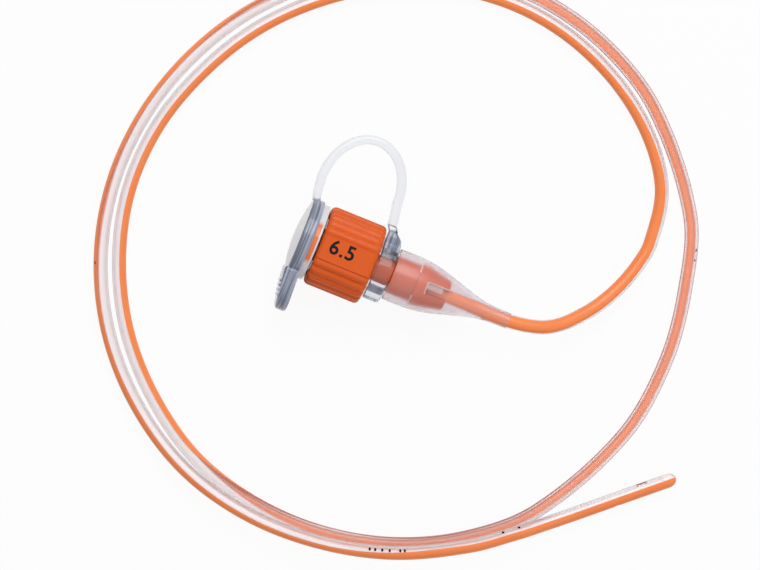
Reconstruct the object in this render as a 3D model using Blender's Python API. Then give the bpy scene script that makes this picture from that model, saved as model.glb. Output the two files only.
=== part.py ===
"""Small-bore feeding tube with a fluted connector hub and a tethered cap.

The hub lies on its side on a table, its axis along X, with the clear cap in its mouth.
The tube leaves the back of the hub through a soft tapered sleeve, comes down to the
table and lies there in two loose turns around the hub, ending in a round closed tip
with two side eyes. The cap's strap loops from the cap over the collar to a ring that
turns on the hub's neck.

Lengths along the hub are measured on its axis from the middle of the fluted collar.
"""

import math

import bmesh
import bpy
from mathutils import Matrix, Vector
from mathutils.geometry import interpolate_bezier

MM = 0.001

# Gaps between pieces that touch on the real product
SEAT_GAP = 0.2 * MM
END_GAP = 0.3 * MM
WELD = 0.002 * MM
THROUGH = 1.0 * MM

# Tube, sized by its French gauge: a third of a millimetre for each unit
FRENCH_SIZE = 6.5
TUBE_RADIUS = FRENCH_SIZE / 3.0 / 2.0 * MM
TUBE_WALL = 0.36 * MM
LUMEN_RADIUS = TUBE_RADIUS - TUBE_WALL
TABLE_GAP = 0.02 * MM
LEAD_STEP = 4.0 * MM
LEAD_RUN = 66.0 * MM
ROUTE_STEP = 7.5 * MM

# Fluted collar, open at its front end
COLLAR_RADIUS = 6.3 * MM
COLLAR_LENGTH = 8.9 * MM
COLLAR_ROUND_X = 0.8 * MM
COLLAR_ROUND_R = 0.75 * MM
PAD_HALF_ANGLE = math.radians(18.75)
RIBS_PER_SIDE = 10
FLUTE_DEPTH = 0.3 * MM
MOUTH_RADIUS = 4.75 * MM
MOUTH_CHAMFER = 0.25 * MM
WEB_THICKNESS = 1.7 * MM

# Thread inside the collar: ridges that stand in from its wall
THREAD_STARTS = 2
THREAD_TURN = math.radians(230.0)
THREAD_LEAD = 4.4 * MM
THREAD_HEIGHT = 0.35 * MM
THREAD_FOOT = 1.0 * MM
THREAD_CREST = 0.45 * MM
THREAD_INSET = 0.9 * MM

# Male cone inside the collar
CONE_TIP_RADIUS = 2.6 * MM
CONE_ROOT_RADIUS = 2.8 * MM
CONE_REACH = 0.65 * MM
CONE_BORE_RADIUS = 1.45 * MM

# Tether ring and the neck it turns on
RING_RADIUS = 4.95 * MM
RING_BORE = 2.75 * MM
RING_WIDTH = 2.55 * MM
RING_CHAMFER = 0.45 * MM
NECK_RADIUS = 2.05 * MM

# Stepped barrel behind the neck, with the tube's socket in its end
BARREL_RADIUS = 2.92 * MM
BARREL_LENGTH = 3.8 * MM
STEP_RADIUS = 3.22 * MM
STEP_LENGTH = 5.2 * MM
STEP_END_RADIUS = 2.3 * MM
STEP_ROUND = 0.5 * MM
SOCKET_DEPTH = 3.5 * MM
WINDOW_WIDTH = 1.7 * MM

# Soft sleeve from the barrel down to the tube
SLEEVE_LENGTH = 19.2 * MM
SLEEVE_STEPS = 8
SLEEVE_CLEARANCE = 0.29 * MM
SLEEVE_WALL = 0.55 * MM
SLEEVE_END_WALL = 0.25 * MM
SLEEVE_STRAIGHT = 3.0 * MM
SLEEVE_QUICKENING = 1.12

# Cap: dome, flange, shoulder, skirt and inner plug
FLANGE_RADIUS = 6.3 * MM
FLANGE_WIDTH = 1.85 * MM
FLANGE_CHAMFER = 0.2 * MM
DOME_RADIUS = 5.8 * MM
DOME_HEIGHT = 0.8 * MM
SHOULDER_RADIUS = 5.95 * MM
SHOULDER_WIDTH = 1.0 * MM
SKIRT_LENGTH = 5.4 * MM
PLUG_LENGTH = 1.8 * MM

# Thumb tab of the cap
TAB_REACH = 5.1 * MM
TAB_WIDTH = 9.0 * MM
TAB_SETBACK = 0.15 * MM
TAB_ROOT_THICKNESS = 2.4 * MM
TAB_END_THICKNESS = 1.8 * MM
TAB_ROUND = 0.4 * MM
GRIP_COUNT = 4
GRIP_RADIUS = 0.24 * MM
GRIP_PITCH = 0.72 * MM
GRIP_START = 0.85 * MM

# Strap from the cap over the collar to the ring
STRAP_THICKNESS = 1.4 * MM
STRAP_WIDTH = 3.0 * MM
STRAP_RISE = 10.8 * MM
STRAP_PEAK = -1.6 * MM
STRAP_FRONT_LEAN = 0.3 * MM
STRAP_FRONT_LEG = 2.5 * MM
STRAP_BACK_LEAN = 0.5 * MM
STRAP_BACK_SET = 0.55 * MM
STRAP_BACK_LEG = 3.2 * MM
STRAP_ARC_STEPS = 9
LUG_REACH = 0.75 * MM
RING_LUG_REACH = 1.9 * MM

# Round closed tip of the tube
TIP_LENGTH = 16.0 * MM
TIP_ROUND = 0.95 * MM
TIP_END_WALL = 1.4 * MM
EYE_LENGTH = 1.7 * MM
EYE_WIDTH = 0.95 * MM
EYE_DISTANCES = (5.0 * MM, 9.5 * MM)
EYE_TURN = math.radians(62.0)

# Places along the axis that follow from the sizes above
COLLAR_FRONT = -COLLAR_LENGTH / 2.0
COLLAR_BACK = COLLAR_LENGTH / 2.0
MOUTH_FLOOR = COLLAR_BACK - WEB_THICKNESS
CONE_FRONT = COLLAR_FRONT - CONE_REACH
RING_FRONT = COLLAR_BACK + END_GAP
RING_BACK = RING_FRONT + RING_WIDTH
BARREL_FRONT = RING_BACK + END_GAP
STEP_FRONT = BARREL_FRONT + BARREL_LENGTH
BARREL_END = STEP_FRONT + STEP_LENGTH
SOCKET_FLOOR = BARREL_END - SOCKET_DEPTH
SLEEVE_END = BARREL_FRONT + SLEEVE_LENGTH
SLEEVE_RADIUS = max(BARREL_RADIUS, STEP_RADIUS) + SLEEVE_CLEARANCE + SLEEVE_WALL
SHOULDER_BACK = COLLAR_FRONT - END_GAP
FLANGE_BACK = SHOULDER_BACK - SHOULDER_WIDTH
FLANGE_FRONT = FLANGE_BACK - FLANGE_WIDTH
DOME_TOP = FLANGE_FRONT - DOME_HEIGHT
SKIRT_RADIUS = MOUTH_RADIUS - THREAD_HEIGHT - SEAT_GAP
SKIRT_BORE = CONE_ROOT_RADIUS + SEAT_GAP
TUBE_START = SOCKET_FLOOR + END_GAP
STRAP_HALF = STRAP_THICKNESS / 2.0
STRAP_TOP = COLLAR_RADIUS + STRAP_RISE + STRAP_THICKNESS
STRAP_FRONT_X = FLANGE_FRONT + STRAP_FRONT_LEAN / 2.0
STRAP_BACK_X = RING_FRONT + STRAP_HALF - STRAP_BACK_SET
STRAP_FRONT_FOOT = FLANGE_RADIUS + LUG_REACH + SEAT_GAP
STRAP_BACK_FOOT = RING_RADIUS + RING_LUG_REACH + SEAT_GAP
TAB_ROOT = -FLANGE_RADIUS * 0.75
TAB_END = FLANGE_RADIUS + TAB_REACH

# The part's origin is on the table, under the middle of the hub, its cap and its sleeve
AXIS_HEIGHT = max(COLLAR_RADIUS, FLANGE_RADIUS)
AXIS_X = -(DOME_TOP + SLEEVE_END) / 2.0
AXIS_Y = -(STRAP_TOP - TAB_END) / 2.0

# Route of the tube, in millimetres from the middle of the collar: first the lead-in, with
# its height above the tube's own height on the table, then the two turns, as rows of
# angle, radius and height about the middle of the coil, then the run to the tip
LEAD_IN = (
    (31.6, 0.9, 4.6),
    (34.4, 2.4, 3.6),
    (36.9, 4.8, 2.5),
    (39.1, 7.6, 1.5),
    (41.0, 11.1, 0.7),
    (42.4, 15.1, 0.2),
    (43.0, 19.3, 0.0),
)
COIL_MIDDLE = (7.6, 1.75)
COIL_TURNS = (
    (38, 42.7, 0.0), (52, 43.7, 0.0), (67, 43.8, 0.0), (82, 43.6, 0.0), (97, 43.0, 0.0),
    (112, 42.2, 0.0), (127, 41.5, 0.0), (142, 41.2, 0.0), (157, 41.1, 0.0), (172, 41.5, 0.0),
    (187, 41.8, 0.0), (202, 41.8, 0.0), (217, 41.9, 0.0), (232, 42.0, 0.0), (247, 42.4, 0.0),
    (262, 42.4, 0.0), (277, 42.6, 0.0), (292, 43.0, 0.0), (307, 43.5, 0.0), (322, 43.9, 0.0),
    (345, 44.1, 0.0), (362, 44.4, 0.0), (377, 44.9, 0.0), (391, 46.0, 0.0), (412, 46.3, 0.0),
    (427, 46.3, 0.0), (442, 46.0, 0.0), (457, 45.5, 0.0), (472, 44.9, 0.0), (487, 44.2, 0.0),
    (502, 44.0, 0.0), (517, 43.9, 0.0), (532, 44.1, 0.0), (547, 44.4, 0.0), (562, 44.6, 0.0),
    (577, 44.7, 0.0), (592, 44.7, 0.2), (607, 44.7, 1.3), (622, 44.3, 1.8), (637, 44.0, 2.05),
    (652, 44.2, 2.15), (667, 44.7, 2.15), (677, 45.4, 1.95),
)
RUN_OUT = (
    (41.5, -28.7, 1.6),
    (44.7, -26.1, 0.5),
)
TIP_START = (47.9, -23.4)
TIP_ANGLE = math.radians(41.3)

TURN_STEPS = 48
TIP_STEPS = 24
EYE_STEPS = 16
ROUND_STEPS = 4
RIB_PHASES = (0.0, 0.14, 0.36, 0.64, 0.86)

ORANGE = (0.80, 0.18, 0.035)
CLEAR = (0.84, 0.86, 0.92)
FROSTED = (0.86, 0.82, 0.86)
TUBE_CLEAR = (0.90, 0.62, 0.50)


def clear_scene():
    """Remove every object of the open scene."""
    for thing in list(bpy.data.objects):
        bpy.data.objects.remove(thing, do_unlink=True)


def plastic(name, colour, roughness, alpha=1.0):
    """Principled material of a moulded or drawn plastic."""
    material = bpy.data.materials.new(name)
    material.use_nodes = True
    shader = material.node_tree.nodes["Principled BSDF"]
    shader.inputs["Base Color"].default_value = (*colour, 1.0)
    shader.inputs["Roughness"].default_value = roughness
    shader.inputs["Metallic"].default_value = 0.0
    shader.inputs["Alpha"].default_value = alpha
    return material


def placed(name, data, material=None, parent=None):
    """Object of a mesh or curve, linked to the scene under its parent."""
    thing = bpy.data.objects.new(name, data)
    bpy.context.scene.collection.objects.link(thing)
    if material:
        data.materials.append(material)
    thing.parent = parent
    return thing


def helper(thing):
    """Mark an object as a guide that only Booleans use."""
    thing.hide_render = True
    thing.display_type = "WIRE"
    return thing


def finished_mesh(name, bm):
    """Mesh with welded corners and faces turned outwards, shaded smooth up to 35 degrees."""
    bmesh.ops.remove_doubles(bm, verts=bm.verts, dist=WELD)
    bmesh.ops.recalc_face_normals(bm, faces=bm.faces)
    mesh = bpy.data.meshes.new(name)
    bm.to_mesh(mesh)
    bm.free()
    mesh.shade_smooth()
    mesh.set_sharp_from_angle(angle=math.radians(35.0))
    return mesh


def turned_mesh(name, profile, steps=TURN_STEPS):
    """Profile of (x, radius) spun about the X axis, closed on itself or on the axis."""
    bm = bmesh.new()
    corners = [bm.verts.new((x, 0.0, radius)) for x, radius in profile]
    edges = [bm.edges.new(pair) for pair in zip(corners, corners[1:])]
    if profile[0][1] > 0.0:
        edges.append(bm.edges.new((corners[-1], corners[0])))
    bmesh.ops.spin(
        bm,
        geom=corners + edges,
        cent=(0.0, 0.0, 0.0),
        axis=(1.0, 0.0, 0.0),
        angle=math.tau,
        steps=steps,
        use_merge=True,
    )
    return finished_mesh(name, bm)


def lofted_mesh(name, sections):
    """Closed skin over loops of points that all have the same count."""
    bm = bmesh.new()
    loops = [[bm.verts.new(point) for point in section] for section in sections]
    for near, far in zip(loops, loops[1:]):
        for k in range(len(near)):
            bm.faces.new((near[k - 1], near[k], far[k], far[k - 1]))
    bm.faces.new(loops[0])
    bm.faces.new(loops[-1])
    return finished_mesh(name, bm)


def boolean(target, operation, other):
    """Live Boolean on the target, with the other object kept as its guide."""
    modifier = target.modifiers.new(other.name, "BOOLEAN")
    modifier.operation = operation
    modifier.solver = "EXACT"
    modifier.object = helper(other)


def quarter(steps=ROUND_STEPS):
    """Sine and cosine pairs over a quarter turn."""
    angles = [math.pi / 2.0 * k / steps for k in range(steps + 1)]
    return [(math.sin(a), math.cos(a)) for a in angles]


def collar_outline(inset):
    """Rim of the collar seen along its axis: two flat pads between two fans of ribs."""
    points = []
    flat = COLLAR_RADIUS * math.cos(PAD_HALF_ANGLE)
    fan = math.pi - 2.0 * PAD_HALF_ANGLE
    for side in range(2):
        top = side * math.pi
        for angle in (-PAD_HALF_ANGLE, -PAD_HALF_ANGLE / 3.0, PAD_HALF_ANGLE / 3.0, PAD_HALF_ANGLE):
            points.append((top + angle, flat / math.cos(angle) - inset))
        for rib in range(RIBS_PER_SIDE):
            for phase in RIB_PHASES:
                if rib == 0 and phase == 0.0:
                    continue
                angle = top + PAD_HALF_ANGLE + fan * (rib + phase) / RIBS_PER_SIDE
                groove = FLUTE_DEPTH * (1.0 - math.sin(math.pi * phase))
                points.append((angle, COLLAR_RADIUS - groove - inset))
    return points


def collar_mesh():
    """Solid fluted drum with rounded ends."""
    stations = [(COLLAR_FRONT + COLLAR_ROUND_X * (1.0 - c), COLLAR_ROUND_R * (1.0 - s)) for s, c in quarter()]
    back = [(-x, inset) for x, inset in reversed(stations)]
    sections = []
    for x, inset in stations + back:
        sections.append(
            [Vector((x, radius * math.sin(a), radius * math.cos(a))) for a, radius in collar_outline(inset)]
        )
    return lofted_mesh("collar_drum", sections)


def thread_mesh(start):
    """One ridge of the thread inside the collar, its foot sunk into the wall."""
    steps = 22
    sections = []
    for k in range(steps + 1):
        share = k / steps
        angle = math.tau * start / THREAD_STARTS + THREAD_TURN * share
        middle = COLLAR_FRONT + THREAD_INSET + THREAD_LEAD * THREAD_TURN / math.tau * share
        foot = MOUTH_RADIUS + THREAD_HEIGHT
        crest = MOUTH_RADIUS - THREAD_HEIGHT
        corners = (
            (middle - THREAD_FOOT / 2.0, foot),
            (middle - THREAD_CREST / 2.0, crest),
            (middle + THREAD_CREST / 2.0, crest),
            (middle + THREAD_FOOT / 2.0, foot),
        )
        sections.append([Vector((x, r * math.sin(angle), r * math.cos(angle))) for x, r in corners])
    return lofted_mesh("thread", sections)


def box_mesh(name, low, high):
    """Box between two corners."""
    bm = bmesh.new()
    bmesh.ops.create_cube(bm, size=1.0)
    low = Vector(low)
    high = Vector(high)
    for vertex in bm.verts:
        vertex.co = Vector(((low[k] + high[k]) / 2.0 + vertex.co[k] * (high[k] - low[k]) for k in range(3)))
    return finished_mesh(name, bm)


def connector_hub(axis, material):
    """Fluted collar, male cone, neck and stepped barrel: one moulding."""
    hub = placed("connector_hub", collar_mesh(), material, axis)
    pocket = [
        (COLLAR_FRONT - THROUGH, 0.0),
        (COLLAR_FRONT - THROUGH, MOUTH_RADIUS + MOUTH_CHAMFER),
        (COLLAR_FRONT, MOUTH_RADIUS + MOUTH_CHAMFER),
        (COLLAR_FRONT + MOUTH_CHAMFER, MOUTH_RADIUS),
        (MOUTH_FLOOR, MOUTH_RADIUS),
        (MOUTH_FLOOR, 0.0),
    ]
    boolean(hub, "DIFFERENCE", placed("mouth_pocket", turned_mesh("mouth_pocket", pocket), None, axis))
    for start in range(THREAD_STARTS):
        name = "thread_ridge_%d" % (start + 1)
        boolean(hub, "UNION", placed(name, thread_mesh(start), None, axis))

    core = [
        (CONE_FRONT, 0.0),
        (CONE_FRONT, CONE_TIP_RADIUS - MOUTH_CHAMFER),
        (CONE_FRONT + MOUTH_CHAMFER, CONE_TIP_RADIUS),
        (MOUTH_FLOOR, CONE_ROOT_RADIUS),
        (MOUTH_FLOOR + WEB_THICKNESS / 2.0, CONE_ROOT_RADIUS),
        (MOUTH_FLOOR + WEB_THICKNESS / 2.0, NECK_RADIUS),
        (BARREL_FRONT, NECK_RADIUS),
        (BARREL_FRONT, BARREL_RADIUS),
        (STEP_FRONT, BARREL_RADIUS),
        (STEP_FRONT, STEP_RADIUS),
        (STEP_FRONT + STEP_LENGTH / 4.0, STEP_RADIUS),
    ]
    for s, c in quarter():
        core.append((BARREL_END - STEP_ROUND * (1.0 - s), STEP_END_RADIUS - STEP_ROUND * (1.0 - c)))
    core.append((BARREL_END, 0.0))
    boolean(hub, "UNION", placed("hub_core", turned_mesh("hub_core", core), None, axis))

    bore = [
        (CONE_FRONT - THROUGH, 0.0),
        (CONE_FRONT - THROUGH, CONE_BORE_RADIUS),
        (MOUTH_FLOOR, CONE_BORE_RADIUS),
        (MOUTH_FLOOR + WEB_THICKNESS, LUMEN_RADIUS),
        (SOCKET_FLOOR, LUMEN_RADIUS),
        (SOCKET_FLOOR, TUBE_RADIUS + SEAT_GAP),
        (BARREL_END + THROUGH, TUBE_RADIUS + SEAT_GAP),
        (BARREL_END + THROUGH, 0.0),
    ]
    boolean(hub, "DIFFERENCE", placed("hub_bore", turned_mesh("hub_bore", bore, TIP_STEPS), None, axis))
    window = box_mesh(
        "socket_window",
        (SOCKET_FLOOR, -WINDOW_WIDTH / 2.0, TUBE_RADIUS / 2.0),
        (BARREL_END + THROUGH, WINDOW_WIDTH / 2.0, STEP_RADIUS + THROUGH),
    )
    boolean(hub, "DIFFERENCE", placed("socket_window", window, None, axis))
    return hub


def tab_thickness(y):
    """Thickness of the tab along X, at a distance of -y from the axis."""
    share = (TAB_ROOT - y) / (TAB_ROOT + TAB_END)
    return TAB_ROOT_THICKNESS + (TAB_END_THICKNESS - TAB_ROOT_THICKNESS) * share


def tab_mesh():
    """Tongue of the cap that a thumb pushes, thinner and round at its end."""
    half = TAB_WIDTH / 2.0
    corner = -(TAB_END - half)
    outline = [(TAB_ROOT, -half), (corner, -half)]
    for k in range(1, 12):
        angle = math.pi * k / 12.0
        outline.append((corner - half * math.sin(angle), -half * math.cos(angle)))
    outline += [(corner, half), (TAB_ROOT, half)]
    rear = FLANGE_BACK + TAB_SETBACK
    back = [Vector((rear, y, z)) for y, z in outline]
    front = [Vector((rear - tab_thickness(y), y, z)) for y, z in outline]
    return lofted_mesh("cap_tab", (back, front))


def grip_mesh(rank):
    """One round ridge across the front of the tab."""
    y = -(FLANGE_RADIUS + GRIP_START + GRIP_PITCH * rank)
    bm = bmesh.new()
    place = Matrix.Translation((FLANGE_BACK + TAB_SETBACK - tab_thickness(y), y, 0.0))
    bmesh.ops.create_cone(
        bm,
        cap_ends=True,
        segments=10,
        radius1=GRIP_RADIUS,
        radius2=GRIP_RADIUS,
        depth=TAB_WIDTH * 0.66,
        matrix=place,
    )
    return finished_mesh("grip", bm)


def rounded_edges(thing, width):
    """Bevel every sharp edge of a piece."""
    bevel = thing.modifiers.new("edge_round", "BEVEL")
    bevel.width = width
    bevel.segments = 2
    bevel.limit_method = "ANGLE"
    bevel.angle_limit = math.radians(50.0)
    bevel.use_clamp_overlap = True
    return thing


def cap(axis, material):
    """Clear cap: dome, flange, shoulder, skirt round the cone, plug and thumb tab."""
    sphere = (DOME_RADIUS**2 + DOME_HEIGHT**2) / (2.0 * DOME_HEIGHT)
    profile = []
    for k in range(7):
        radius = DOME_RADIUS * k / 6.0
        drop = sphere - math.sqrt(sphere**2 - radius**2)
        profile.append((DOME_TOP + drop, radius))
    profile += [
        (FLANGE_FRONT, FLANGE_RADIUS - FLANGE_CHAMFER),
        (FLANGE_FRONT + FLANGE_CHAMFER, FLANGE_RADIUS),
        (FLANGE_BACK - FLANGE_CHAMFER, FLANGE_RADIUS),
        (FLANGE_BACK, SHOULDER_RADIUS + FLANGE_CHAMFER),
        (SHOULDER_BACK, SHOULDER_RADIUS),
        (SHOULDER_BACK, SKIRT_RADIUS),
        (SHOULDER_BACK + SKIRT_LENGTH - FLANGE_CHAMFER, SKIRT_RADIUS),
        (SHOULDER_BACK + SKIRT_LENGTH, SKIRT_RADIUS - FLANGE_CHAMFER),
        (SHOULDER_BACK + SKIRT_LENGTH, SKIRT_BORE),
        (CONE_FRONT - END_GAP, CONE_TIP_RADIUS + SEAT_GAP),
        (CONE_FRONT - END_GAP, CONE_BORE_RADIUS - SEAT_GAP),
        (CONE_FRONT - END_GAP + PLUG_LENGTH, CONE_BORE_RADIUS - 2.0 * SEAT_GAP),
        (CONE_FRONT - END_GAP + PLUG_LENGTH, 0.0),
    ]
    body = placed("cap", turned_mesh("cap", profile), material, axis)
    tab = rounded_edges(placed("cap_tab", tab_mesh(), None, axis), TAB_ROUND)
    boolean(body, "UNION", tab)
    for rank in range(GRIP_COUNT):
        boolean(body, "UNION", placed("grip_ridge_%d" % (rank + 1), grip_mesh(rank), None, axis))
    lug = box_mesh(
        "cap_lug",
        (STRAP_FRONT_X - STRAP_HALF, FLANGE_RADIUS * 0.8, -STRAP_WIDTH / 2.0),
        (STRAP_FRONT_X + STRAP_HALF, STRAP_FRONT_FOOT - SEAT_GAP, STRAP_WIDTH / 2.0),
    )
    boolean(body, "UNION", placed("cap_lug", lug, None, axis))
    return body


def tether_ring(axis, material):
    """Clear ring on the neck, with the flared root of the strap."""
    profile = [
        (RING_FRONT, RING_BORE),
        (RING_FRONT, RING_RADIUS - RING_CHAMFER / 2.0),
        (RING_FRONT + RING_CHAMFER / 2.0, RING_RADIUS),
        (RING_BACK - RING_CHAMFER, RING_RADIUS),
        (RING_BACK, RING_RADIUS - RING_CHAMFER),
        (RING_BACK, RING_BORE),
    ]
    ring = placed("tether_ring", turned_mesh("tether_ring", profile), material, axis)
    half = STRAP_WIDTH / 2.0
    sections = []
    for y, front, back, side in (
        (RING_RADIUS * 0.7, RING_FRONT, RING_BACK, RING_RADIUS * 0.65),
        (RING_RADIUS + 0.1 * RING_LUG_REACH, RING_FRONT, RING_BACK - RING_CHAMFER / 2.0, half * 1.35),
        (RING_RADIUS + 0.55 * RING_LUG_REACH, RING_FRONT, STRAP_BACK_X + STRAP_HALF * 1.7, half * 1.1),
        (RING_RADIUS + RING_LUG_REACH, STRAP_BACK_X - STRAP_HALF, STRAP_BACK_X + STRAP_HALF, half),
    ):
        sections.append(
            [Vector(corner) for corner in ((front, y, -side), (back, y, -side), (back, y, side), (front, y, side))]
        )
    lug = placed("ring_lug", lofted_mesh("ring_lug", sections), None, axis)
    boolean(ring, "UNION", lug)
    return ring


def strap_points():
    """Middle line of the strap: a leg on the cap, a round bend and a leg on the ring."""
    top = STRAP_TOP - STRAP_HALF
    front_x = STRAP_FRONT_X - STRAP_FRONT_LEAN
    front_y = STRAP_FRONT_FOOT + STRAP_FRONT_LEG
    back_x = STRAP_BACK_X - STRAP_BACK_LEAN
    back_y = STRAP_BACK_FOOT + STRAP_BACK_LEG
    points = [Vector((STRAP_FRONT_X, STRAP_FRONT_FOOT, 0.0))]
    for k in range(STRAP_ARC_STEPS + 1):
        angle = math.pi / 2.0 * k / STRAP_ARC_STEPS
        x = STRAP_PEAK - (STRAP_PEAK - front_x) * math.cos(angle)
        points.append(Vector((x, front_y + (top - front_y) * math.sin(angle), 0.0)))
    for k in range(1, STRAP_ARC_STEPS + 1):
        angle = math.pi / 2.0 * k / STRAP_ARC_STEPS
        x = STRAP_PEAK + (back_x - STRAP_PEAK) * math.sin(angle)
        points.append(Vector((x, back_y + (top - back_y) * math.cos(angle), 0.0)))
    points.append(Vector((STRAP_BACK_X, STRAP_BACK_FOOT, 0.0)))
    return points


def tether_strap(axis, material):
    """Flat strap with round edges, bent over the collar."""
    curve = bpy.data.curves.new("tether_strap", "CURVE")
    curve.dimensions = "3D"
    curve.twist_mode = "Z_UP"
    curve.fill_mode = "FULL"
    curve.bevel_depth = STRAP_HALF
    curve.bevel_resolution = 2
    curve.extrude = STRAP_WIDTH / 2.0 - STRAP_HALF
    curve.use_fill_caps = True
    add_polyline(curve, strap_points())
    return placed("tether_strap", curve, material, axis)


def sleeve_radius(share):
    """Outer radius of the sleeve, from its wide end at 0 to its end on the tube at 1."""
    end = TUBE_RADIUS + SEAT_GAP + SLEEVE_END_WALL
    ease = 0.5 + 0.5 * math.cos(math.pi * min(share * SLEEVE_QUICKENING, 1.0))
    return end + (SLEEVE_RADIUS - end) * ease


def strain_relief_sleeve(axis, material):
    """Soft shell over the barrel that tapers down to the tube."""
    start = BARREL_FRONT
    run = SLEEVE_LENGTH - SLEEVE_STRAIGHT
    outer = [(start, SLEEVE_RADIUS)]
    for k in range(SLEEVE_STEPS + 1):
        share = k / SLEEVE_STEPS
        outer.append((start + SLEEVE_STRAIGHT + run * share, sleeve_radius(share)))
    inner = [(x, max(radius - SLEEVE_WALL, TUBE_RADIUS + SEAT_GAP)) for x, radius in outer]
    profile = outer + inner[::-1]
    sleeve = turned_mesh("strain_relief_sleeve", profile)
    return placed("strain_relief_sleeve", sleeve, material, axis)


def add_polyline(curve, points):
    """One open spline of straight runs through the points."""
    spline = curve.splines.new("POLY")
    spline.points.add(len(points) - 1)
    for slot, point in zip(spline.points, points):
        slot.co = (*point, 1.0)


def route_knots():
    """Points that the tube's middle line passes through, from the middle of the collar."""
    floor = TUBE_RADIUS + TABLE_GAP - AXIS_HEIGHT
    knots = [
        Vector((TUBE_START, 0.0, 0.0)),
        Vector(((TUBE_START + SLEEVE_END) / 2.0, 0.0, 0.0)),
        Vector((SLEEVE_END, 0.0, 0.0)),
    ]
    for x, y, height in LEAD_IN:
        knots.append(Vector((x * MM, y * MM, floor + height * MM)))
    for degrees, radius, height in COIL_TURNS:
        angle = math.radians(degrees)
        x = (COIL_MIDDLE[0] + radius * math.cos(angle)) * MM
        y = (COIL_MIDDLE[1] + radius * math.sin(angle)) * MM
        knots.append(Vector((x, y, floor + height * MM)))
    for x, y, height in RUN_OUT:
        knots.append(Vector((x * MM, y * MM, floor + height * MM)))
    end = Vector((TIP_START[0] * MM, TIP_START[1] * MM, floor))
    heading = Vector((math.cos(TIP_ANGLE), math.sin(TIP_ANGLE), 0.0))
    knots.append(end - heading * END_GAP)
    return knots


def smooth_route(knots, lead_step, step):
    """Points on a smooth curve through the knots, closer together over the lead-in."""
    dense = []
    last = len(knots) - 1
    for k in range(last):
        before = knots[max(k - 1, 0)]
        near = knots[k]
        far = knots[k + 1]
        after = knots[min(k + 2, last)]
        reach = (far - near).length / 3.0
        handle_near = near + (far - before).normalized() * reach
        handle_far = far - (after - near).normalized() * reach
        dense += interpolate_bezier(near, handle_near, handle_far, far, 17)[:-1]
    dense.append(knots[-1])
    runs = [(b - a).length for a, b in zip(dense, dense[1:])]
    total = sum(runs)
    lead_count = round(LEAD_RUN / lead_step)
    count = round((total - LEAD_RUN) / step)
    targets = [LEAD_RUN * n / lead_count for n in range(1, lead_count)]
    targets += [LEAD_RUN + (total - LEAD_RUN) * n / count for n in range(count)]
    points = [dense[0]]
    walked = 0.0
    k = 0
    for target in targets:
        while walked + runs[k] < target:
            walked += runs[k]
            k += 1
        points.append(dense[k].lerp(dense[k + 1], (target - walked) / runs[k]))
    points.append(dense[-1])
    return points


def feeding_tube(axis, material):
    """The tube from its socket in the barrel to its tip, as a plain round rod."""
    curve = bpy.data.curves.new("feeding_tube", "CURVE")
    curve.dimensions = "3D"
    curve.twist_mode = "Z_UP"
    curve.bevel_depth = TUBE_RADIUS
    curve.bevel_resolution = 2
    curve.use_fill_caps = True
    add_polyline(curve, smooth_route(route_knots(), LEAD_STEP, ROUTE_STEP))
    return placed("feeding_tube", curve, material, axis)


def tube_tip(axis, material):
    """Closed round end of the tube, with its lumen and two side eyes."""
    profile = []
    for s, c in quarter():
        profile.append((TIP_LENGTH - TIP_ROUND * (1.0 - c), TUBE_RADIUS * s))
    profile += [
        (0.0, TUBE_RADIUS),
        (0.0, LUMEN_RADIUS),
        (TIP_LENGTH - TIP_END_WALL - LUMEN_RADIUS, LUMEN_RADIUS),
        (TIP_LENGTH - TIP_END_WALL, 0.0),
    ]
    tip = placed("tube_tip", turned_mesh("tube_tip", profile, TIP_STEPS), material, axis)
    floor = TUBE_RADIUS + TABLE_GAP - AXIS_HEIGHT
    tip.location = (TIP_START[0] * MM, TIP_START[1] * MM, floor)
    tip.rotation_euler = (0.0, 0.0, TIP_ANGLE)
    for rank, distance in enumerate(EYE_DISTANCES):
        side = 1.0 if rank % 2 == 0 else -1.0
        bm = bmesh.new()
        bmesh.ops.create_cone(
            bm,
            cap_ends=True,
            segments=EYE_STEPS,
            radius1=EYE_LENGTH / 2.0,
            radius2=EYE_LENGTH / 2.0,
            depth=2.0 * TUBE_RADIUS,
        )
        squeeze = Matrix.Diagonal((1.0, EYE_WIDTH / EYE_LENGTH, 1.0, 1.0))
        outward = Matrix.Translation((0.0, 0.0, TUBE_RADIUS))
        turn = Matrix.Rotation(-side * EYE_TURN, 4, "X")
        place = Matrix.Translation((TIP_LENGTH - distance, 0.0, 0.0))
        bmesh.ops.transform(bm, matrix=place @ turn @ outward @ squeeze, verts=bm.verts)
        eye = placed("eye_cutter_%d" % (rank + 1), finished_mesh("eye_cutter", bm), None, tip)
        boolean(tip, "DIFFERENCE", eye)
    return tip


def build():
    """Model every piece under an empty on the connector's axis."""
    clear_scene()
    axis = bpy.data.objects.new("connector_axis", None)
    axis.location = (AXIS_X, AXIS_Y, AXIS_HEIGHT)
    bpy.context.scene.collection.objects.link(axis)

    orange = plastic("orange_moulding", ORANGE, 0.38)
    clear = plastic("clear_moulding", CLEAR, 0.08, 0.35)
    frosted = plastic("frosted_sleeve", FROSTED, 0.45, 0.5)
    tubing = plastic("clear_tubing", TUBE_CLEAR, 0.12, 0.8)

    connector_hub(axis, orange)
    cap(axis, clear)
    tether_strap(axis, clear)
    tether_ring(axis, clear)
    strain_relief_sleeve(axis, frosted)
    feeding_tube(axis, tubing)
    tube_tip(axis, tubing)
    bpy.context.view_layer.update()


build()
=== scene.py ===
import math

import bmesh
import bpy
from bpy.props import FloatProperty, FloatVectorProperty, IntProperty, PointerProperty
from mathutils import Matrix, Vector
from mathutils.geometry import interpolate_bezier


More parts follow.
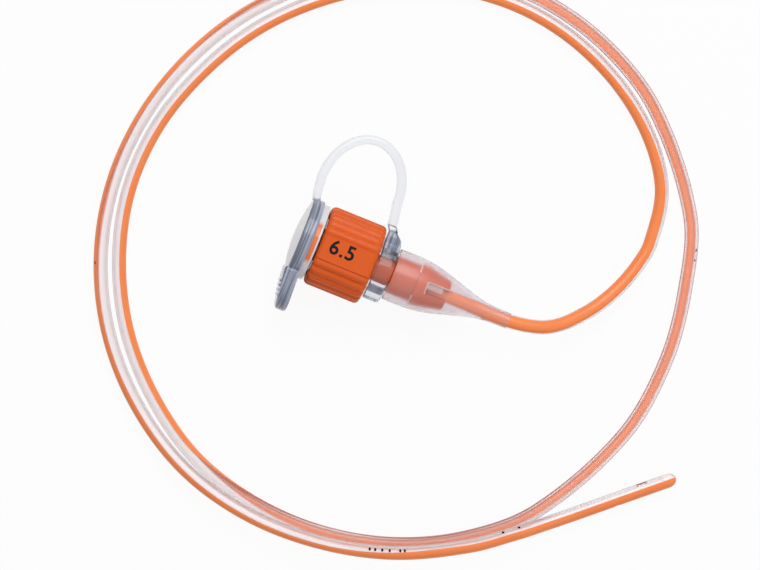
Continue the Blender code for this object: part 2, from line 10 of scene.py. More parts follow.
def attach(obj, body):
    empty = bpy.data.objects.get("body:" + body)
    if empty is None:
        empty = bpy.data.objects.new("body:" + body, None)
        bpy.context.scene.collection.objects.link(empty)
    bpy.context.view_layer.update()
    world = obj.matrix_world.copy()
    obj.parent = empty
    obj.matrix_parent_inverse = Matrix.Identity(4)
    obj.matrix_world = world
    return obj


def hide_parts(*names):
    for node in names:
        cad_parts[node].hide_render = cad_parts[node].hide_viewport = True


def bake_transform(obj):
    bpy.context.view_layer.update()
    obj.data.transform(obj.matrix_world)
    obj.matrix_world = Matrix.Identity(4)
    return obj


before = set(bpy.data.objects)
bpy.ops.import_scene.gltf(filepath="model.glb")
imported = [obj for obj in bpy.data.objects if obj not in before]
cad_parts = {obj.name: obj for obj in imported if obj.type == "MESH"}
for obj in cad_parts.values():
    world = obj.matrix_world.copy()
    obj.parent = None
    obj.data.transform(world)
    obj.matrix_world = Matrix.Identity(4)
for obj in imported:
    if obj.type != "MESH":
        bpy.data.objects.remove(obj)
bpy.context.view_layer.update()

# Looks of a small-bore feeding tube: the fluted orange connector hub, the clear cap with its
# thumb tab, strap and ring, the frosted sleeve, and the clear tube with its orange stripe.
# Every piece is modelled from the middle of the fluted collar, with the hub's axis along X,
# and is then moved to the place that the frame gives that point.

bl_info = {
    "name": "Feeding Tube Looks",
    "version": (1, 0, 0),
    "blender": (4, 5, 0),
    "location": "3D View > Sidebar > Feeding Tube",
    "description": "Adds a feeding tube with its connector hub, tethered cap and sleeve",
    "category": "Add Mesh",
}

MM = 0.001

# Gaps between pieces that touch, and how far a cutting body passes what it cuts
SEAT_GAP = 0.2 * MM
END_GAP = 0.3 * MM
OVERCUT = 1.0 * MM

# Sizes along the hub's axis, from the middle of the collar
COLLAR_FRONT = -4.45 * MM
COLLAR_BACK = 4.45 * MM
MOUTH_FLOOR = 2.75 * MM
CONE_FRONT = -5.1 * MM
RING_FRONT = 4.75 * MM
RING_BACK = 7.3 * MM
BARREL_FRONT = 7.6 * MM
STEP_FRONT = 11.4 * MM
BARREL_END = 16.6 * MM
SOCKET_FLOOR = 13.1 * MM
TUBE_START = 13.4 * MM
SLEEVE_END = 26.8 * MM
SLEEVE_STRAIGHT = 3.0 * MM
SHOULDER_BACK = -4.75 * MM
FLANGE_BACK = -5.75 * MM
FLANGE_FRONT = -7.6 * MM
DOME_TOP = -8.4 * MM
SKIRT_LENGTH = 5.4 * MM
PLUG_DEPTH = 1.8 * MM
TAB_BACK = FLANGE_BACK + 0.15 * MM

# Height of the axis over the table, and the place of the collar's middle in the frame
AXIS_HEIGHT = 6.3 * MM
COLLAR_PLACE = Vector((-9.2 * MM, -3.55 * MM, AXIS_HEIGHT))

# The hub's other sizes. Each of the thread's starts sweeps THREAD_SWEEP degrees, and its
# section is in millimetres along the axis and inwards and outwards from the mouth's wall.
MOUTH_RADIUS = 4.75 * MM
MOUTH_CHAMFER = 0.25 * MM
CONE_TIP_RADIUS = 2.6 * MM
CONE_ROOT_RADIUS = 2.8 * MM
CONE_BORE_RADIUS = 1.45 * MM
NECK_RADIUS = 2.05 * MM
BARREL_RADIUS = 2.92 * MM
STEP_RADIUS = 3.22 * MM
STEP_END_RADIUS = 2.3 * MM
WINDOW_WIDTH = 1.7 * MM
LIGHT_BEAD_GAP = 0.06 * MM
THREAD_STARTS = 2
THREAD_STEPS = 48
THREAD_PITCH = 4.4 * MM
THREAD_SWEEP = 230.0
THREAD_HEIGHT = 0.35 * MM
THREAD_FRONT = COLLAR_FRONT + 0.9 * MM
THREAD_SECTION = ((-0.5, 0.35), (-0.225, -0.35), (0.225, -0.35), (0.5, 0.35))

# Thickness of the thumb tab at its root, and how much less its end has, in millimetres
TAB_THICKNESS = 2.4
TAB_THINNING = 0.6

# The size figures: width over all, place on the pad and height of their middle over it
FIGURES_WIDTH = 3.9 * MM
FIGURES_X = -0.98 * MM
FIGURES_Y = 0.50 * MM
FIGURES_LIFT = 0.008 * MM

# The strap's middle line: its foot on the cap, as rows of x, y and thickness in millimetres
# and the share of the strap's width, then its legs on cap and ring and the top of its bend
STRAP_FRONT_X = -7.45 * MM
STRAP_BACK_X = 4.9 * MM
STRAP_PEAK = (-1.6 * MM, 17.8 * MM)
STRAP_FRONT_LEG = (-7.75 * MM, 9.75 * MM)
STRAP_BACK_LEG = (4.4 * MM, 10.25 * MM)
STRAP_FOOT = ((-7.15, 6.1, 1.15, 1.1), (-7.28, 6.5, 1.15, 1.05))
STRAP_FOOT_TOP = 7.1 * MM
STRAP_STEPS = 24
STRAP_SIDES = 28

# Route of the tube, in millimetres from the middle of the collar: first the lead-in, with
# its height above the tube's own height on the table, then the two turns, as rows of
# angle, radius and height about the middle of the coil, then the run to the tip
LEAD_IN = (
    (31.6, 0.9, 4.6), (34.4, 2.4, 3.6), (36.9, 4.8, 2.5), (39.1, 7.6, 1.5), (41.0, 11.1, 0.7),
    (42.4, 15.1, 0.2), (43.0, 19.3, 0.0),
)
COIL_MIDDLE = (7.6, 1.75)
COIL_TURNS = (
    (38, 42.7, 0.0), (52, 43.7, 0.0), (67, 43.8, 0.0), (82, 43.6, 0.0), (97, 43.0, 0.0),
    (112, 42.2, 0.0), (127, 41.5, 0.0), (142, 41.2, 0.0), (157, 41.1, 0.0), (172, 41.5, 0.0),
    (187, 41.8, 0.0), (202, 41.8, 0.0), (217, 41.9, 0.0), (232, 42.0, 0.0), (247, 42.4, 0.0),
    (262, 42.4, 0.0), (277, 42.6, 0.0), (292, 43.0, 0.0), (307, 43.5, 0.0), (322, 43.9, 0.0),
    (345, 44.1, 0.0), (362, 44.4, 0.0), (377, 44.9, 0.0), (391, 46.0, 0.0), (412, 46.3, 0.0),
    (427, 46.3, 0.0), (442, 46.0, 0.0), (457, 45.5, 0.0), (472, 44.9, 0.0), (487, 44.2, 0.0),
    (502, 44.0, 0.0), (517, 43.9, 0.0), (532, 44.1, 0.0), (547, 44.4, 0.0), (562, 44.6, 0.0),
    (577, 44.7, 0.0), (592, 44.7, 0.2), (607, 44.7, 1.3), (622, 44.3, 1.8), (637, 44.0, 2.05),
    (652, 44.2, 2.15), (667, 44.7, 2.15), (677, 45.4, 1.95),
)
RUN_OUT = ((41.5, -28.7, 1.6), (44.7, -26.1, 0.5))
RUN_OUT_DEGREES = 4.0
KNOT_STEPS = 16
TIP_START = (47.9, -23.4)
TIP_ANGLE = math.radians(41.3)
TABLE_GAP = 0.02 * MM

# The tip: how far it passes its length, its nose and its end wall, and its side eyes as
# rows of distance from the end and side, turned by an angle from the top
TIP_PAST = 0.3 * MM
NOSE_LENGTH = 1.35 * MM
TIP_WALL = 1.4 * MM
EYES = ((5.0 * MM, 1.0), (9.5 * MM, -1.0))
EYE_TURN = math.radians(80.0)

# How far the tube's stripe is turned from the top, in degrees towards the outside of the
# coil, against the angle about the middle of the coil
STRIPE_TURNS = (
    (0, 0), (38, -36), (60, -58), (205, -62), (243, -76), (262, -140), (279, -170), (300, -146),
    (335, -172), (440, -184), (485, -232), (520, -276), (550, -254), (590, -284), (639, -282),
    (659, -316), (677, -311),
)

# Printed marks: angle about the middle of the coil and turn from the top, both in degrees,
# then length along the tube and width in millimetres
PRINTED_MARKS = (
    (647.0, -22, 0.36, 0.54), (648.1, -21, 0.36, 0.54), (649.5, -22, 0.36, 0.54),
    (651.0, -21, 0.34, 0.54), (653.1, -22, 0.36, 0.54), (654.0, -21, 0.34, 0.54),
    (673.8, -46, 0.46, 0.44), (677.3, -48, 0.44, 0.42), (562.0, 52, 0.46, 0.30),
    (384.3, 42, 0.56, 0.26), (382.4, 40, 0.40, 0.26),
)
MARK_THICKNESS = 0.05 * MM

# The sleeve's and the dome's steps, and how much faster than its length the sleeve narrows
SLEEVE_STEPS = 32
DOME_STEPS = 12
SLEEVE_TAPER = 1.12

# How meshes are shaded and rounded, and the refractive index of the hard clear plastic
SMOOTH_LIMIT = math.radians(32.0)
BEVEL_LIMIT = math.radians(40.0)
CORNER_STEPS = 5
PLASTIC_IOR = 1.5

# What the camera looks at, from the collar's middle, and the places and sizes of the lamps
# and the floor, in metres
LOOKED_AT = Vector((6.62 * MM, -2.23 * MM, 0.0))
SENSOR_WIDTH = 36.0
KEY_LAMP = ((-0.12, 0.36, 0.52), 0.5)
FILL_LAMP = ((0.42, -0.12, 0.40), 0.30)
FLOOR_SIZE = 4.0
FLOOR_DROP = 0.01 * MM


def length_prop(name, description, size):
    """Property for a length in millimetres."""
    return FloatProperty(name=name, description=description, default=size * MM, unit="LENGTH")


def angle_prop(name, description, degrees):
    """Property for an angle in degrees."""
    turn = math.radians(degrees)
    return FloatProperty(name=name, description=description, default=turn, subtype="ANGLE")


def colour_prop(name, description, colour):
    """Property for a colour."""
    return FloatVectorProperty(name=name, description=description, default=colour, subtype="COLOR")


class TubeSettings(bpy.types.PropertyGroup):
    """Sizes and colours of the tube and its tip."""

    diameter: length_prop(
        "Diameter",
        "Width of the tube, a third of a millimetre for each unit of the French scale",
        6.5 / 3.0,
    )
    wall: length_prop("Wall", "Thickness of the tube's wall", 0.36)
    ring_step: length_prop("Ring Step", "Distance between the rings of faces along the tube", 0.75)
    sides: IntProperty(name="Sides", description="Faces round the tube", default=32, min=8)
    stripe_half: angle_prop("Half Stripe", "Half of the angle that the opaque stripe takes", 62.0)
    stripe_colour: colour_prop("Stripe", "Colour of the opaque stripe", (0.94, 0.25, 0.068))
    # The inner stripe's colour is a paler copy of the stripe's, painted light
    lumen_colour: colour_prop("Inner Stripe", "Stripe on the inner wall", (1.0, 0.42, 0.25))
    clear_colour: colour_prop("Clear Wall", "Tint of the clear wall", (0.97, 0.935, 0.945))
    ink_colour: colour_prop("Ink", "Colour of printed marks and figures", (0.004, 0.004, 0.005))
    tip_length: length_prop("Tip Length", "Length of the closed tip", 16.0)
    eye_length: length_prop("Eye Length", "Length of a side eye along the tube", 1.7)
    eye_width: length_prop("Eye Width", "Width of a side eye round the tube", 0.95)


class HubSettings(bpy.types.PropertyGroup):
    """Sizes and colour of the orange connector hub."""

    collar_radius: length_prop("Collar Radius", "Radius over the ribs of the collar", 6.3)
    collar_length: length_prop("Collar Length", "Length of the fluted collar", 8.9)
    rib_count: IntProperty(
        name="Ribs", description="Ribs on each side, between the two pads", default=10, min=3
    )
    flute_depth: length_prop("Flute Depth", "Depth of the grooves between the ribs", 0.3)
    pad_half: angle_prop("Half Pad", "Half of the angle that a smooth pad takes", 18.75)
    figure_height: length_prop("Figure Height", "Height of the size figures on the pad", 2.3)
    colour: colour_prop("Orange", "Colour of the moulded hub", (0.71, 0.100, 0.005))
    roughness: FloatProperty(
        name="Roughness",
        description="Roughness of the moulded hub",
        default=0.36,
        subtype="FACTOR",
    )


class CapSettings(bpy.types.PropertyGroup):
    """Sizes and colours of the clear cap, its strap and its ring."""

    flange_radius: length_prop("Flange Radius", "Radius of the cap's flange", 6.3)
    dome_radius: length_prop("Dome Radius", "Radius of the low dome before the flange", 5.8)
    shoulder_radius: length_prop("Shoulder Radius", "Radius of the shoulder at the collar", 5.95)
    tab_width: length_prop("Tab Width", "Width of the thumb tab", 9.0)
    tab_reach: length_prop("Tab Reach", "How far the tab stands out from the flange", 5.1)
    tab_lean: FloatProperty(
        name="Tab Lean",
        description="How far the thumb tab leans back for each unit of its length",
        default=0.07,
    )
    grip_count: IntProperty(
        name="Grips", description="Ridges on the front of the thumb tab", default=4, min=1
    )
    grip_radius: length_prop("Grip Radius", "Radius of a ridge on the thumb tab", 0.24)
    grip_pitch: length_prop("Grip Pitch", "Distance from ridge to ridge", 0.72)
    strap_width: length_prop("Strap Width", "Width of the strap", 3.0)
    strap_thickness: length_prop("Strap Thickness", "Thickness of the strap", 1.4)
    ring_radius: length_prop("Ring Radius", "Outer radius of the ring on the neck", 4.95)
    ring_bore: length_prop("Ring Bore", "Inner radius of the ring on the neck", 2.75)
    # Colour of the grey painted shade on thick clear plastic seen edge on
    smoke_colour: colour_prop("Painted Shade", "Thick plastic seen edge on", (0.215, 0.240, 0.310))
    colour: colour_prop("Clear", "Tint of the clear moulding", (0.93, 0.94, 0.97))


class SleeveSettings(bpy.types.PropertyGroup):
    """Sizes and tint of the frosted sleeve."""

    radius: length_prop("Radius", "Outer radius at the wide end", 4.06)
    wall: length_prop("Wall", "Thickness of the sleeve's wall", 0.55)
    end_wall: length_prop("End Wall", "Thickness of the wall at the end on the tube", 0.09)
    colour: colour_prop("Frosted", "Tint of the frosted sleeve", (0.915, 0.845, 0.872))


class StageSettings(bpy.types.PropertyGroup):
    """Camera, lamps and floor."""

    camera_distance: length_prop("Camera Distance", "From the camera to the table", 900.0)
    picture_width: length_prop("Picture Width", "Width of the table that is seen", 115.15)
    camera_tilt: angle_prop("Camera Tilt", "Lean from straight above towards the cap", 4.0)
    camera_roll: angle_prop("Camera Roll", "How far the hub's axis runs downhill", 22.0)
    key_power: FloatProperty(
        name="Key Lamp", description="Power of the large lamp", default=2.7, unit="POWER"
    )
    fill_power: FloatProperty(
        name="Fill Lamp", description="Power of the fill lamp", default=0.5, unit="POWER"
    )
    sky_strength: FloatProperty(name="Sky", description="Strength of the even light", default=0.42)
    floor_colour: colour_prop("Floor", "Colour of the floor", (0.84, 0.84, 0.85))


class Nodes:
    """Adds nodes to one node tree."""

    def __init__(self, tree):
        self.tree = tree

    def put(self, socket, value):
        """Link a socket to another one, or set its value."""
        if isinstance(value, bpy.types.NodeSocket):
            self.tree.links.new(value, socket)
        else:
            socket.default_value = value

    def feed(self, node, **values):
        """Link or set inputs of a node. A name's underscores stand for spaces."""
        for name, value in values.items():
            self.put(node.inputs[name.replace("_", " ")], value)
        return node

    def add(self, kind, **values):
        """New node with some of its properties set."""
        made = self.tree.nodes.new(kind)
        for name, value in values.items():
            setattr(made, name, value)
        return made

    def filled(self, kind, *values, **properties):
        """Output of a new node whose first inputs take these values."""
        made = self.add(kind, **properties)
        for socket, value in zip(made.inputs, values):
            self.put(socket, value)
        return made.outputs[0]

    def maths(self, operation, *values):
        """Output of a Math node on sockets or numbers."""
        return self.filled("ShaderNodeMath", *values, operation=operation)

    def product(self, *values):
        """Product of several sockets or numbers."""
        total = values[0]
        for value in values[1:]:
            total = self.maths("MULTIPLY", total, value)
        return total

    def mapped(self, value, low, high, new_low, new_high):
        """Output of a smooth Map Range node."""
        numbers = (value, low, high, new_low, new_high)
        return self.filled("ShaderNodeMapRange", *numbers, interpolation_type="SMOOTHSTEP")

    def mixed(self, factor, first, second):
        """Shader that runs from one shader to another as a factor does."""
        return self.filled("ShaderNodeMixShader", factor, first, second)

    def vector(self, x, y, z):
        """Vector of three parts."""
        return self.filled("ShaderNodeCombineXYZ", x, y, z)

    def axes(self, vector):
        """The three parts of a vector."""
        made = self.add("ShaderNodeSeparateXYZ")
        self.put(made.inputs[0], vector)
        return made.outputs

    def place(self):
        """Object coordinates."""
        return self.add("ShaderNodeTexCoord").outputs["Object"]

    def noise(self, scale, detail=3.0, stretch=(1.0, 1.0, 1.0)):
        """Factor of a Noise texture on Object coordinates."""
        turn = self.feed(self.add("ShaderNodeMapping"), Vector=self.place(), Scale=stretch)
        texture = self.add("ShaderNodeTexNoise")
        self.feed(texture, Vector=turn.outputs["Vector"], Scale=scale, Detail=detail)
        return texture.outputs["Fac"]

    def tinted(self, factor, low, high):
        """Colour that runs from one tint or socket to another as a factor does."""
        mix = self.add("ShaderNodeMix", data_type="RGBA")
        for name, colour in (("A", low), ("B", high)):
            linked = isinstance(colour, bpy.types.NodeSocket)
            self.put(mix.inputs[name], colour if linked else (*colour, 1.0))
        self.put(mix.inputs["Factor"], factor)
        return mix.outputs["Result"]

    def bumped(self, shader, height, distance, strength=0.3):
        """Fine relief on a shader's surface."""
        bump = self.add("ShaderNodeBump")
        self.feed(bump, Height=height, Distance=distance, Strength=strength)
        self.feed(shader, Normal=bump.outputs["Normal"])

    def apart(self, value, middle):
        """Distance of a coordinate from a number."""
        return self.maths("ABSOLUTE", self.maths("SUBTRACT", value, middle))

    def near(self, value, middle, half):
        """1 where a coordinate lies within half of middle, and 0 elsewhere."""
        return self.maths("LESS_THAN", self.apart(value, middle), half)

    def surface(self, shader):
        """Make a shader the material's surface."""
        self.feed(self.tree.nodes["Material Output"], Surface=shader)

    def lit_through(self, shader, clear, share):
        """Let a share of the lamps' light through the clear places of a surface."""
        rays = self.add("ShaderNodeLightPath").outputs
        passed = self.maths("MAXIMUM", rays["Is Shadow Ray"], rays["Is Diffuse Ray"])
        open_air = self.add("ShaderNodeBsdfTransparent").outputs[0]
        passed = self.product(passed, share, clear)
        self.surface(self.mixed(passed, shader.outputs[0], open_air))


def new_material(name):
    """Material, the writer of its nodes and its Principled shader."""
    material = bpy.data.materials.new(name)
    material.use_nodes = True
    tree = material.node_tree
    return material, Nodes(tree), tree.nodes["Principled BSDF"]


def whitened(nodes):
    """Mask of painted highlights along the barrel's step and along the end and rim of the window,
    and of painted light on the window's bed.
    """
    x, y, z = nodes.axes(nodes.place())
    maths, near = nodes.maths, nodes.near
    side = nodes.apart(y, COLLAR_PLACE.y)
    half = WINDOW_WIDTH / 2.0
    floor = COLLAR_PLACE.x + SOCKET_FLOOR
    step = near(x, COLLAR_PLACE.x + STEP_FRONT + 0.03 * MM, 0.085 * MM)
    step = nodes.product(step, maths("GREATER_THAN", side, 1.75 * MM))
    end = near(x, floor - 0.03 * MM, 0.08 * MM)
    end = nodes.product(end, maths("LESS_THAN", side, half + 0.08 * MM))
    rim = near(y, COLLAR_PLACE.y + half + 0.03 * MM, 0.06 * MM)
    rim = nodes.product(rim, maths("GREATER_THAN", x, floor))
    above = maths("GREATER_THAN", z, AXIS_HEIGHT + 1.2 * MM)
    bed = nodes.product(
        maths("LESS_THAN", side, half - 0.005 * MM),
        maths("LESS_THAN", z, AXIS_HEIGHT + 2.2 * MM),
        maths("GREATER_THAN", x, floor + 0.01 * MM),
        maths("GREATER_THAN", z, AXIS_HEIGHT + 0.5 * MM),
    )
    window = maths("MAXIMUM", nodes.product(maths("MAXIMUM", end, rim), above), bed)
    return maths("MAXIMUM", step, window)


def orange_moulding(settings):
    """Satin orange plastic with a faint mottle and moulding grain, and pale painted highlights and
    painted light at the step and the window.
    """
    material, nodes, shader = new_material("orange_moulding")
    colour = Vector(settings.colour)
    plastic = nodes.tinted(nodes.noise(420.0), colour * 0.94, colour * 1.06)
    grain = nodes.noise(2600.0, 2.0)
    low, high = settings.roughness - 0.05, settings.roughness + 0.07
    nodes.feed(
        shader,
        # Pale painted highlights on the step and the window's edges, and painted light on the
        # window's bed
        Base_Color=nodes.tinted(whitened(nodes), plastic, (0.95, 0.80, 0.74)),
        Roughness=nodes.mapped(grain, 0.3, 0.7, low, high),
        Specular_IOR_Level=0.32,
    )
    nodes.bumped(shader, grain, 0.02 * MM)
    return material


def soft_strap(settings):
    """Clear strap, softly matt."""
    return clear_plastic("soft_strap", settings, 0.28)


def clear_moulding(settings):
    """Clear polished plastic of the cap and the ring."""
    return clear_plastic("clear_moulding", settings, 0.06)


def clear_plastic(name, settings, roughness):
    """Clear plastic with slow waves from its mould."""
    material, nodes, shader = new_material(name)
    colour = Vector(settings.colour)
    wave = nodes.noise(300.0, 1.5)
    nodes.feed(
        shader,
        Base_Color=nodes.tinted(wave, colour * 0.985, colour * 1.01),
        Roughness=roughness,
        IOR=PLASTIC_IOR,
        Transmission_Weight=1.0,
    )
    nodes.bumped(shader, wave, 0.04 * MM, 0.35)
    depth = nodes.add("ShaderNodeVolumeAbsorption")
    nodes.feed(depth, Color=(0.05, 0.10, 0.22, 1.0), Density=28.0)
    nodes.feed(nodes.tree.nodes["Material Output"], Volume=depth.outputs["Volume"])
    nodes.lit_through(shader, 1.0, 0.75)
    return material


def painted_glow_shoulder(settings):
    """Clear shoulder of the cap with painted orange standing in for the orange cone seen through
    it, and a pale back edge left as a painted highlight.
    """
    material, nodes, shader = new_material("painted_glow_shoulder")
    x, y = nodes.axes(nodes.place())[:2]
    side = nodes.apart(y, COLLAR_PLACE.y)
    # Painted orange, fading out away from the axis sideways and left off the pale back edge
    glow = nodes.mapped(side, 2.6 * MM, 3.5 * MM, 1.0, 0.0)
    rim = nodes.near(x, COLLAR_PLACE.x + SHOULDER_BACK - 0.05 * MM, 0.24 * MM)
    glow = nodes.product(glow, nodes.maths("SUBTRACT", 1.0, rim))
    nodes.feed(
        shader,
        Base_Color=nodes.tinted(glow, Vector(settings.colour) * 0.95, (0.86, 0.20, 0.05)),
        Transmission_Weight=nodes.mapped(glow, 0.0, 1.0, 0.25, 0.12),
        Roughness=0.12,
        IOR=PLASTIC_IOR,
    )
    return material


def painted_shade_moulding(settings):
    """Grey painted shade on thick clear plastic seen edge on, with fine streaks along it."""
    material, nodes, shader = new_material("painted_shade_moulding")
    streak = nodes.noise(3400.0, 1.5, (1.0, 0.02, 0.04))
    spread = nodes.mapped(streak, 0.36, 0.64, 0.0, 1.0)
    deep = Vector(settings.smoke_colour)
    nodes.feed(
        shader,
        Base_Color=nodes.tinted(spread, deep * 0.8, deep * 2.3),
        Transmission_Weight=0.3,
        Roughness=0.16,
        IOR=PLASTIC_IOR,
    )
    nodes.bumped(shader, streak, 0.02 * MM)
    return material


def satin_dome(settings):
    """Satin front of the cap, which blurs what lies in it."""
    material, nodes, shader = new_material("satin_dome")
    colour = Vector(settings.colour)
    cloud = nodes.noise(160.0, 1.5)
    nodes.feed(
        shader,
        Base_Color=nodes.tinted(cloud, colour * 0.92, colour * 0.99),
        Transmission_Weight=nodes.mapped(cloud, 0.2, 0.8, 0.08, 0.16),
        Roughness=0.35,
        IOR=PLASTIC_IOR,
    )
    nodes.bumped(shader, cloud, 0.03 * MM)
    return material


def painted_light_fill(settings):
    """Pale fill, painted light that stands in for the light seen in the window beside the tube."""
    material, nodes, shader = new_material("painted_light_fill")
    pale_tone = nodes.tinted(nodes.noise(900.0), (1.0, 0.84, 0.78), (1.0, 0.92, 0.88))
    nodes.feed(shader, Base_Color=pale_tone, Roughness=0.3, Transmission_Weight=0.2)
    return material


def frosted_plastic(settings):
    """Soft frosted plastic that hazes what lies behind it."""
    material, nodes, shader = new_material("frosted_plastic")
    colour = Vector(settings.colour)
    haze = nodes.noise(520.0)
    nodes.feed(
        shader,
        Base_Color=nodes.tinted(haze, colour * 0.97, colour * 1.02),
        Transmission_Weight=nodes.mapped(haze, 0.2, 0.8, 0.92, 0.955),
        Roughness=0.23,
        IOR=1.4,
    )
    nodes.lit_through(shader, 1.0, 0.85)
    return material


def striped_tubing(settings):
    """Outer wall of the tube, with its stripe."""
    return striped_wall("striped_tubing", settings, Vector(settings.stripe_colour))


def striped_lumen(settings):
    """Inner wall of the tube, whose stripe is painted paler than the outer stripe: painted light
    for the light it gets through the clear wall.
    """
    return striped_wall("striped_lumen", settings, Vector(settings.lumen_colour))


def striped_wall(name, settings, deep):
    """Clear drawn wall with an opaque stripe, placed by the tube's own UV map."""
    material, nodes, shader = new_material(name)
    across = nodes.add("ShaderNodeUVMap", uv_map="along_tube").outputs["UV"]
    side = nodes.maths("COSINE", nodes.product(nodes.axes(across)["X"], math.tau))
    edge = math.cos(settings.stripe_half)
    stripe = nodes.mapped(side, edge - 0.05, edge + 0.05, 0.0, 1.0)
    orange = nodes.tinted(nodes.noise(240.0, 2.0), deep * 0.95, deep * 1.05)
    clear = nodes.maths("SUBTRACT", 1.0, stripe)
    nodes.feed(
        shader,
        Base_Color=nodes.tinted(stripe, settings.clear_colour, orange),
        Transmission_Weight=nodes.product(clear, 0.96),
        Roughness=0.28,
        IOR=1.45,
    )
    nodes.lit_through(shader, clear, 0.9)
    return material


def printed_ink(settings):
    """Black ink, a little uneven."""
    material, nodes, shader = new_material("printed_ink")
    ink = Vector(settings.ink_colour)
    cover = nodes.tinted(nodes.noise(3000.0), ink, ink * 2.2)
    nodes.feed(shader, Base_Color=cover, Roughness=0.6, Specular_IOR_Level=0.15)
    return material


def pale_floor(settings):
    """Pale floor that shows as white to the camera and still takes a soft shadow."""
    material, nodes, shader = new_material("pale_floor")
    nodes.tree.nodes.remove(shader)
    matt = nodes.filled("ShaderNodeBsdfDiffuse", (*settings.floor_colour, 1.0))
    glow = nodes.feed(nodes.add("ShaderNodeEmission"), Strength=1.0).outputs[0]
    rays = nodes.add("ShaderNodeLightPath").outputs
    seen = nodes.maths("MAXIMUM", rays["Is Camera Ray"], rays["Is Glossy Ray"])
    through = nodes.product(rays["Is Transmission Ray"], 0.8)
    bright = nodes.maths("MAXIMUM", nodes.product(seen, 0.92), through)
    nodes.surface(nodes.mixed(bright, matt, glow))
    return material


def shared(make, settings):
    """Material that a function makes, made once."""
    return bpy.data.materials.get(make.__name__) or make(settings)


def painted(thing, settings, *makes):
    """Give a piece its materials in order."""
    thing.data.materials.clear()
    for make in makes:
        thing.data.materials.append(shared(make, settings))
    return thing


def smoothed(mesh):
    """Mesh shaded smooth, with its sharp edges kept."""
    mesh.shade_smooth()
    mesh.set_sharp_from_angle(angle=SMOOTH_LIMIT)
    return mesh


def mesh_from(name, bm):
    """Smooth mesh with merged corners and with faces turned outwards."""
    bmesh.ops.remove_doubles(bm, verts=bm.verts, dist=0.001 * MM)
    bmesh.ops.recalc_face_normals(bm, faces=bm.faces)
    mesh = bpy.data.meshes.new(name)
    bm.to_mesh(mesh)
    bm.free()
    return smoothed(mesh)


def bezier_corner(before, corner, after, reach):
    """Round one corner of a profile over a distance along both of its sides."""
    before, corner, after = Vector(before), Vector(corner), Vector(after)
    start = corner + (before - corner).normalized() * min(reach, (before - corner).length * 0.49)
    end = corner + (after - corner).normalized() * min(reach, (after - corner).length * 0.49)
    points = []
    for k in range(CORNER_STEPS + 1):
        t = k / CORNER_STEPS
        points.append(tuple(start * (1 - t) ** 2 + corner * 2 * t * (1 - t) + end * t**2))
    return points


def rounded_profile(corners, closed=False):
    """Profile of (x, radius) from corners of (x, radius, rounding)."""
    points = []
    count = len(corners)
    for k, (x, radius, reach) in enumerate(corners):
        inner = closed or 0 < k < count - 1
        if reach > 0.0 and inner:
            after = corners[(k + 1) % count][:2]
            points += bezier_corner(corners[k - 1][:2], (x, radius), after, reach)
        else:
            points.append((x, radius))
    return points


def turned(name, profile, steps=96, closed=False):
    """Profile of (x, radius) turned about the X axis."""
    bm = bmesh.new()
    rings = []
    for x, radius in profile:
        if radius <= 0.0:
            rings.append([bm.verts.new((x, 0.0, 0.0))] * steps)
            continue
        ring = []
        for k in range(steps):
            angle = math.tau * k / steps
            ring.append(bm.verts.new((x, radius * math.sin(angle), radius * math.cos(angle))))
        rings.append(ring)
    pairs = list(zip(rings, rings[1:]))
    if closed:
        pairs.append((rings[-1], rings[0]))
    for near, far in pairs:
        for k in range(steps):
            corners = [near[k - 1], near[k], far[k], far[k - 1]]
            corners = [v for n, v in enumerate(corners) if v not in corners[:n]]
            if len(corners) > 2:
                bm.faces.new(corners)
    return mesh_from(name, bm)


def lofted(name, sections):
    """Closed skin over loops of points that all have the same count."""
    bm = bmesh.new()
    loops = [[bm.verts.new(point) for point in section] for section in sections]
    for near, far in zip(loops, loops[1:]):
        for k in range(len(near)):
            bm.faces.new((near[k - 1], near[k], far[k], far[k - 1]))
    bm.faces.new(loops[0])
    bm.faces.new(loops[-1])
    return mesh_from(name, bm)


def quarter(steps):
    """Angles of a quarter turn."""
    return [math.pi / 2.0 * k / steps for k in range(steps + 1)]


def added(name, mesh):
    """Object of a mesh in the scene."""
    thing = bpy.data.objects.new(name, mesh)
    bpy.context.scene.collection.objects.link(thing)
    return thing


def evaluated(thing):
    """Give an object its mesh with the modifiers applied, which are then removed."""
    depsgraph = bpy.context.evaluated_depsgraph_get()
    mesh = bpy.data.meshes.new_from_object(thing.evaluated_get(depsgraph))
    thing.modifiers.clear()
    thing.data = mesh
    return thing


def combined(thing, operation, tool):
    """Apply an exact Boolean with a mesh or an object, which is then removed."""
    if isinstance(tool, bpy.types.Mesh):
        tool = added(tool.name, tool)
    modifier = thing.modifiers.new(tool.name, "BOOLEAN")
    modifier.operation = operation
    modifier.solver = "EXACT"
    modifier.object = tool
    evaluated(thing)
    bpy.data.objects.remove(tool, do_unlink=True)


def rounded(name, mesh, width, segments=3):
    """Object of a mesh with its sharp edges rounded."""
    thing = added(name, mesh)
    bevel = thing.modifiers.new("edge_round", "BEVEL")
    bevel.width = width
    bevel.segments = segments
    bevel.limit_method = "ANGLE"
    bevel.angle_limit = BEVEL_LIMIT
    return evaluated(thing)


def piece(thing, slot, body, *nodes):
    """Put a finished piece in its place in the frame, on its body."""
    thing.data.transform(Matrix.Translation(COLLAR_PLACE))
    smoothed(thing.data)
    if nodes:
        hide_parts(*nodes)
    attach(thing, body)


def new_tree(name, **sizes):
    """Writer of a Geometry Nodes tree, and its inputs: the geometry, sizes and a material."""
    tree = bpy.data.node_groups.new(name, "GeometryNodeTree")
    kinds = {float: "Float", int: "Int", tuple: "Vector"}

    def socket(label, kind, side="INPUT"):
        return tree.interface.new_socket(
            name=label.replace("_", " "), in_out=side, socket_type="NodeSocket" + kind
        )

    socket("Geometry", "Geometry")
    for label, value in sizes.items():
        socket(label, kinds[type(value)]).default_value = value
    socket("Material", "Material")
    socket("Geometry", "Geometry", "OUTPUT")
    nodes = Nodes(tree)
    return nodes, nodes.add("NodeGroupInput").outputs


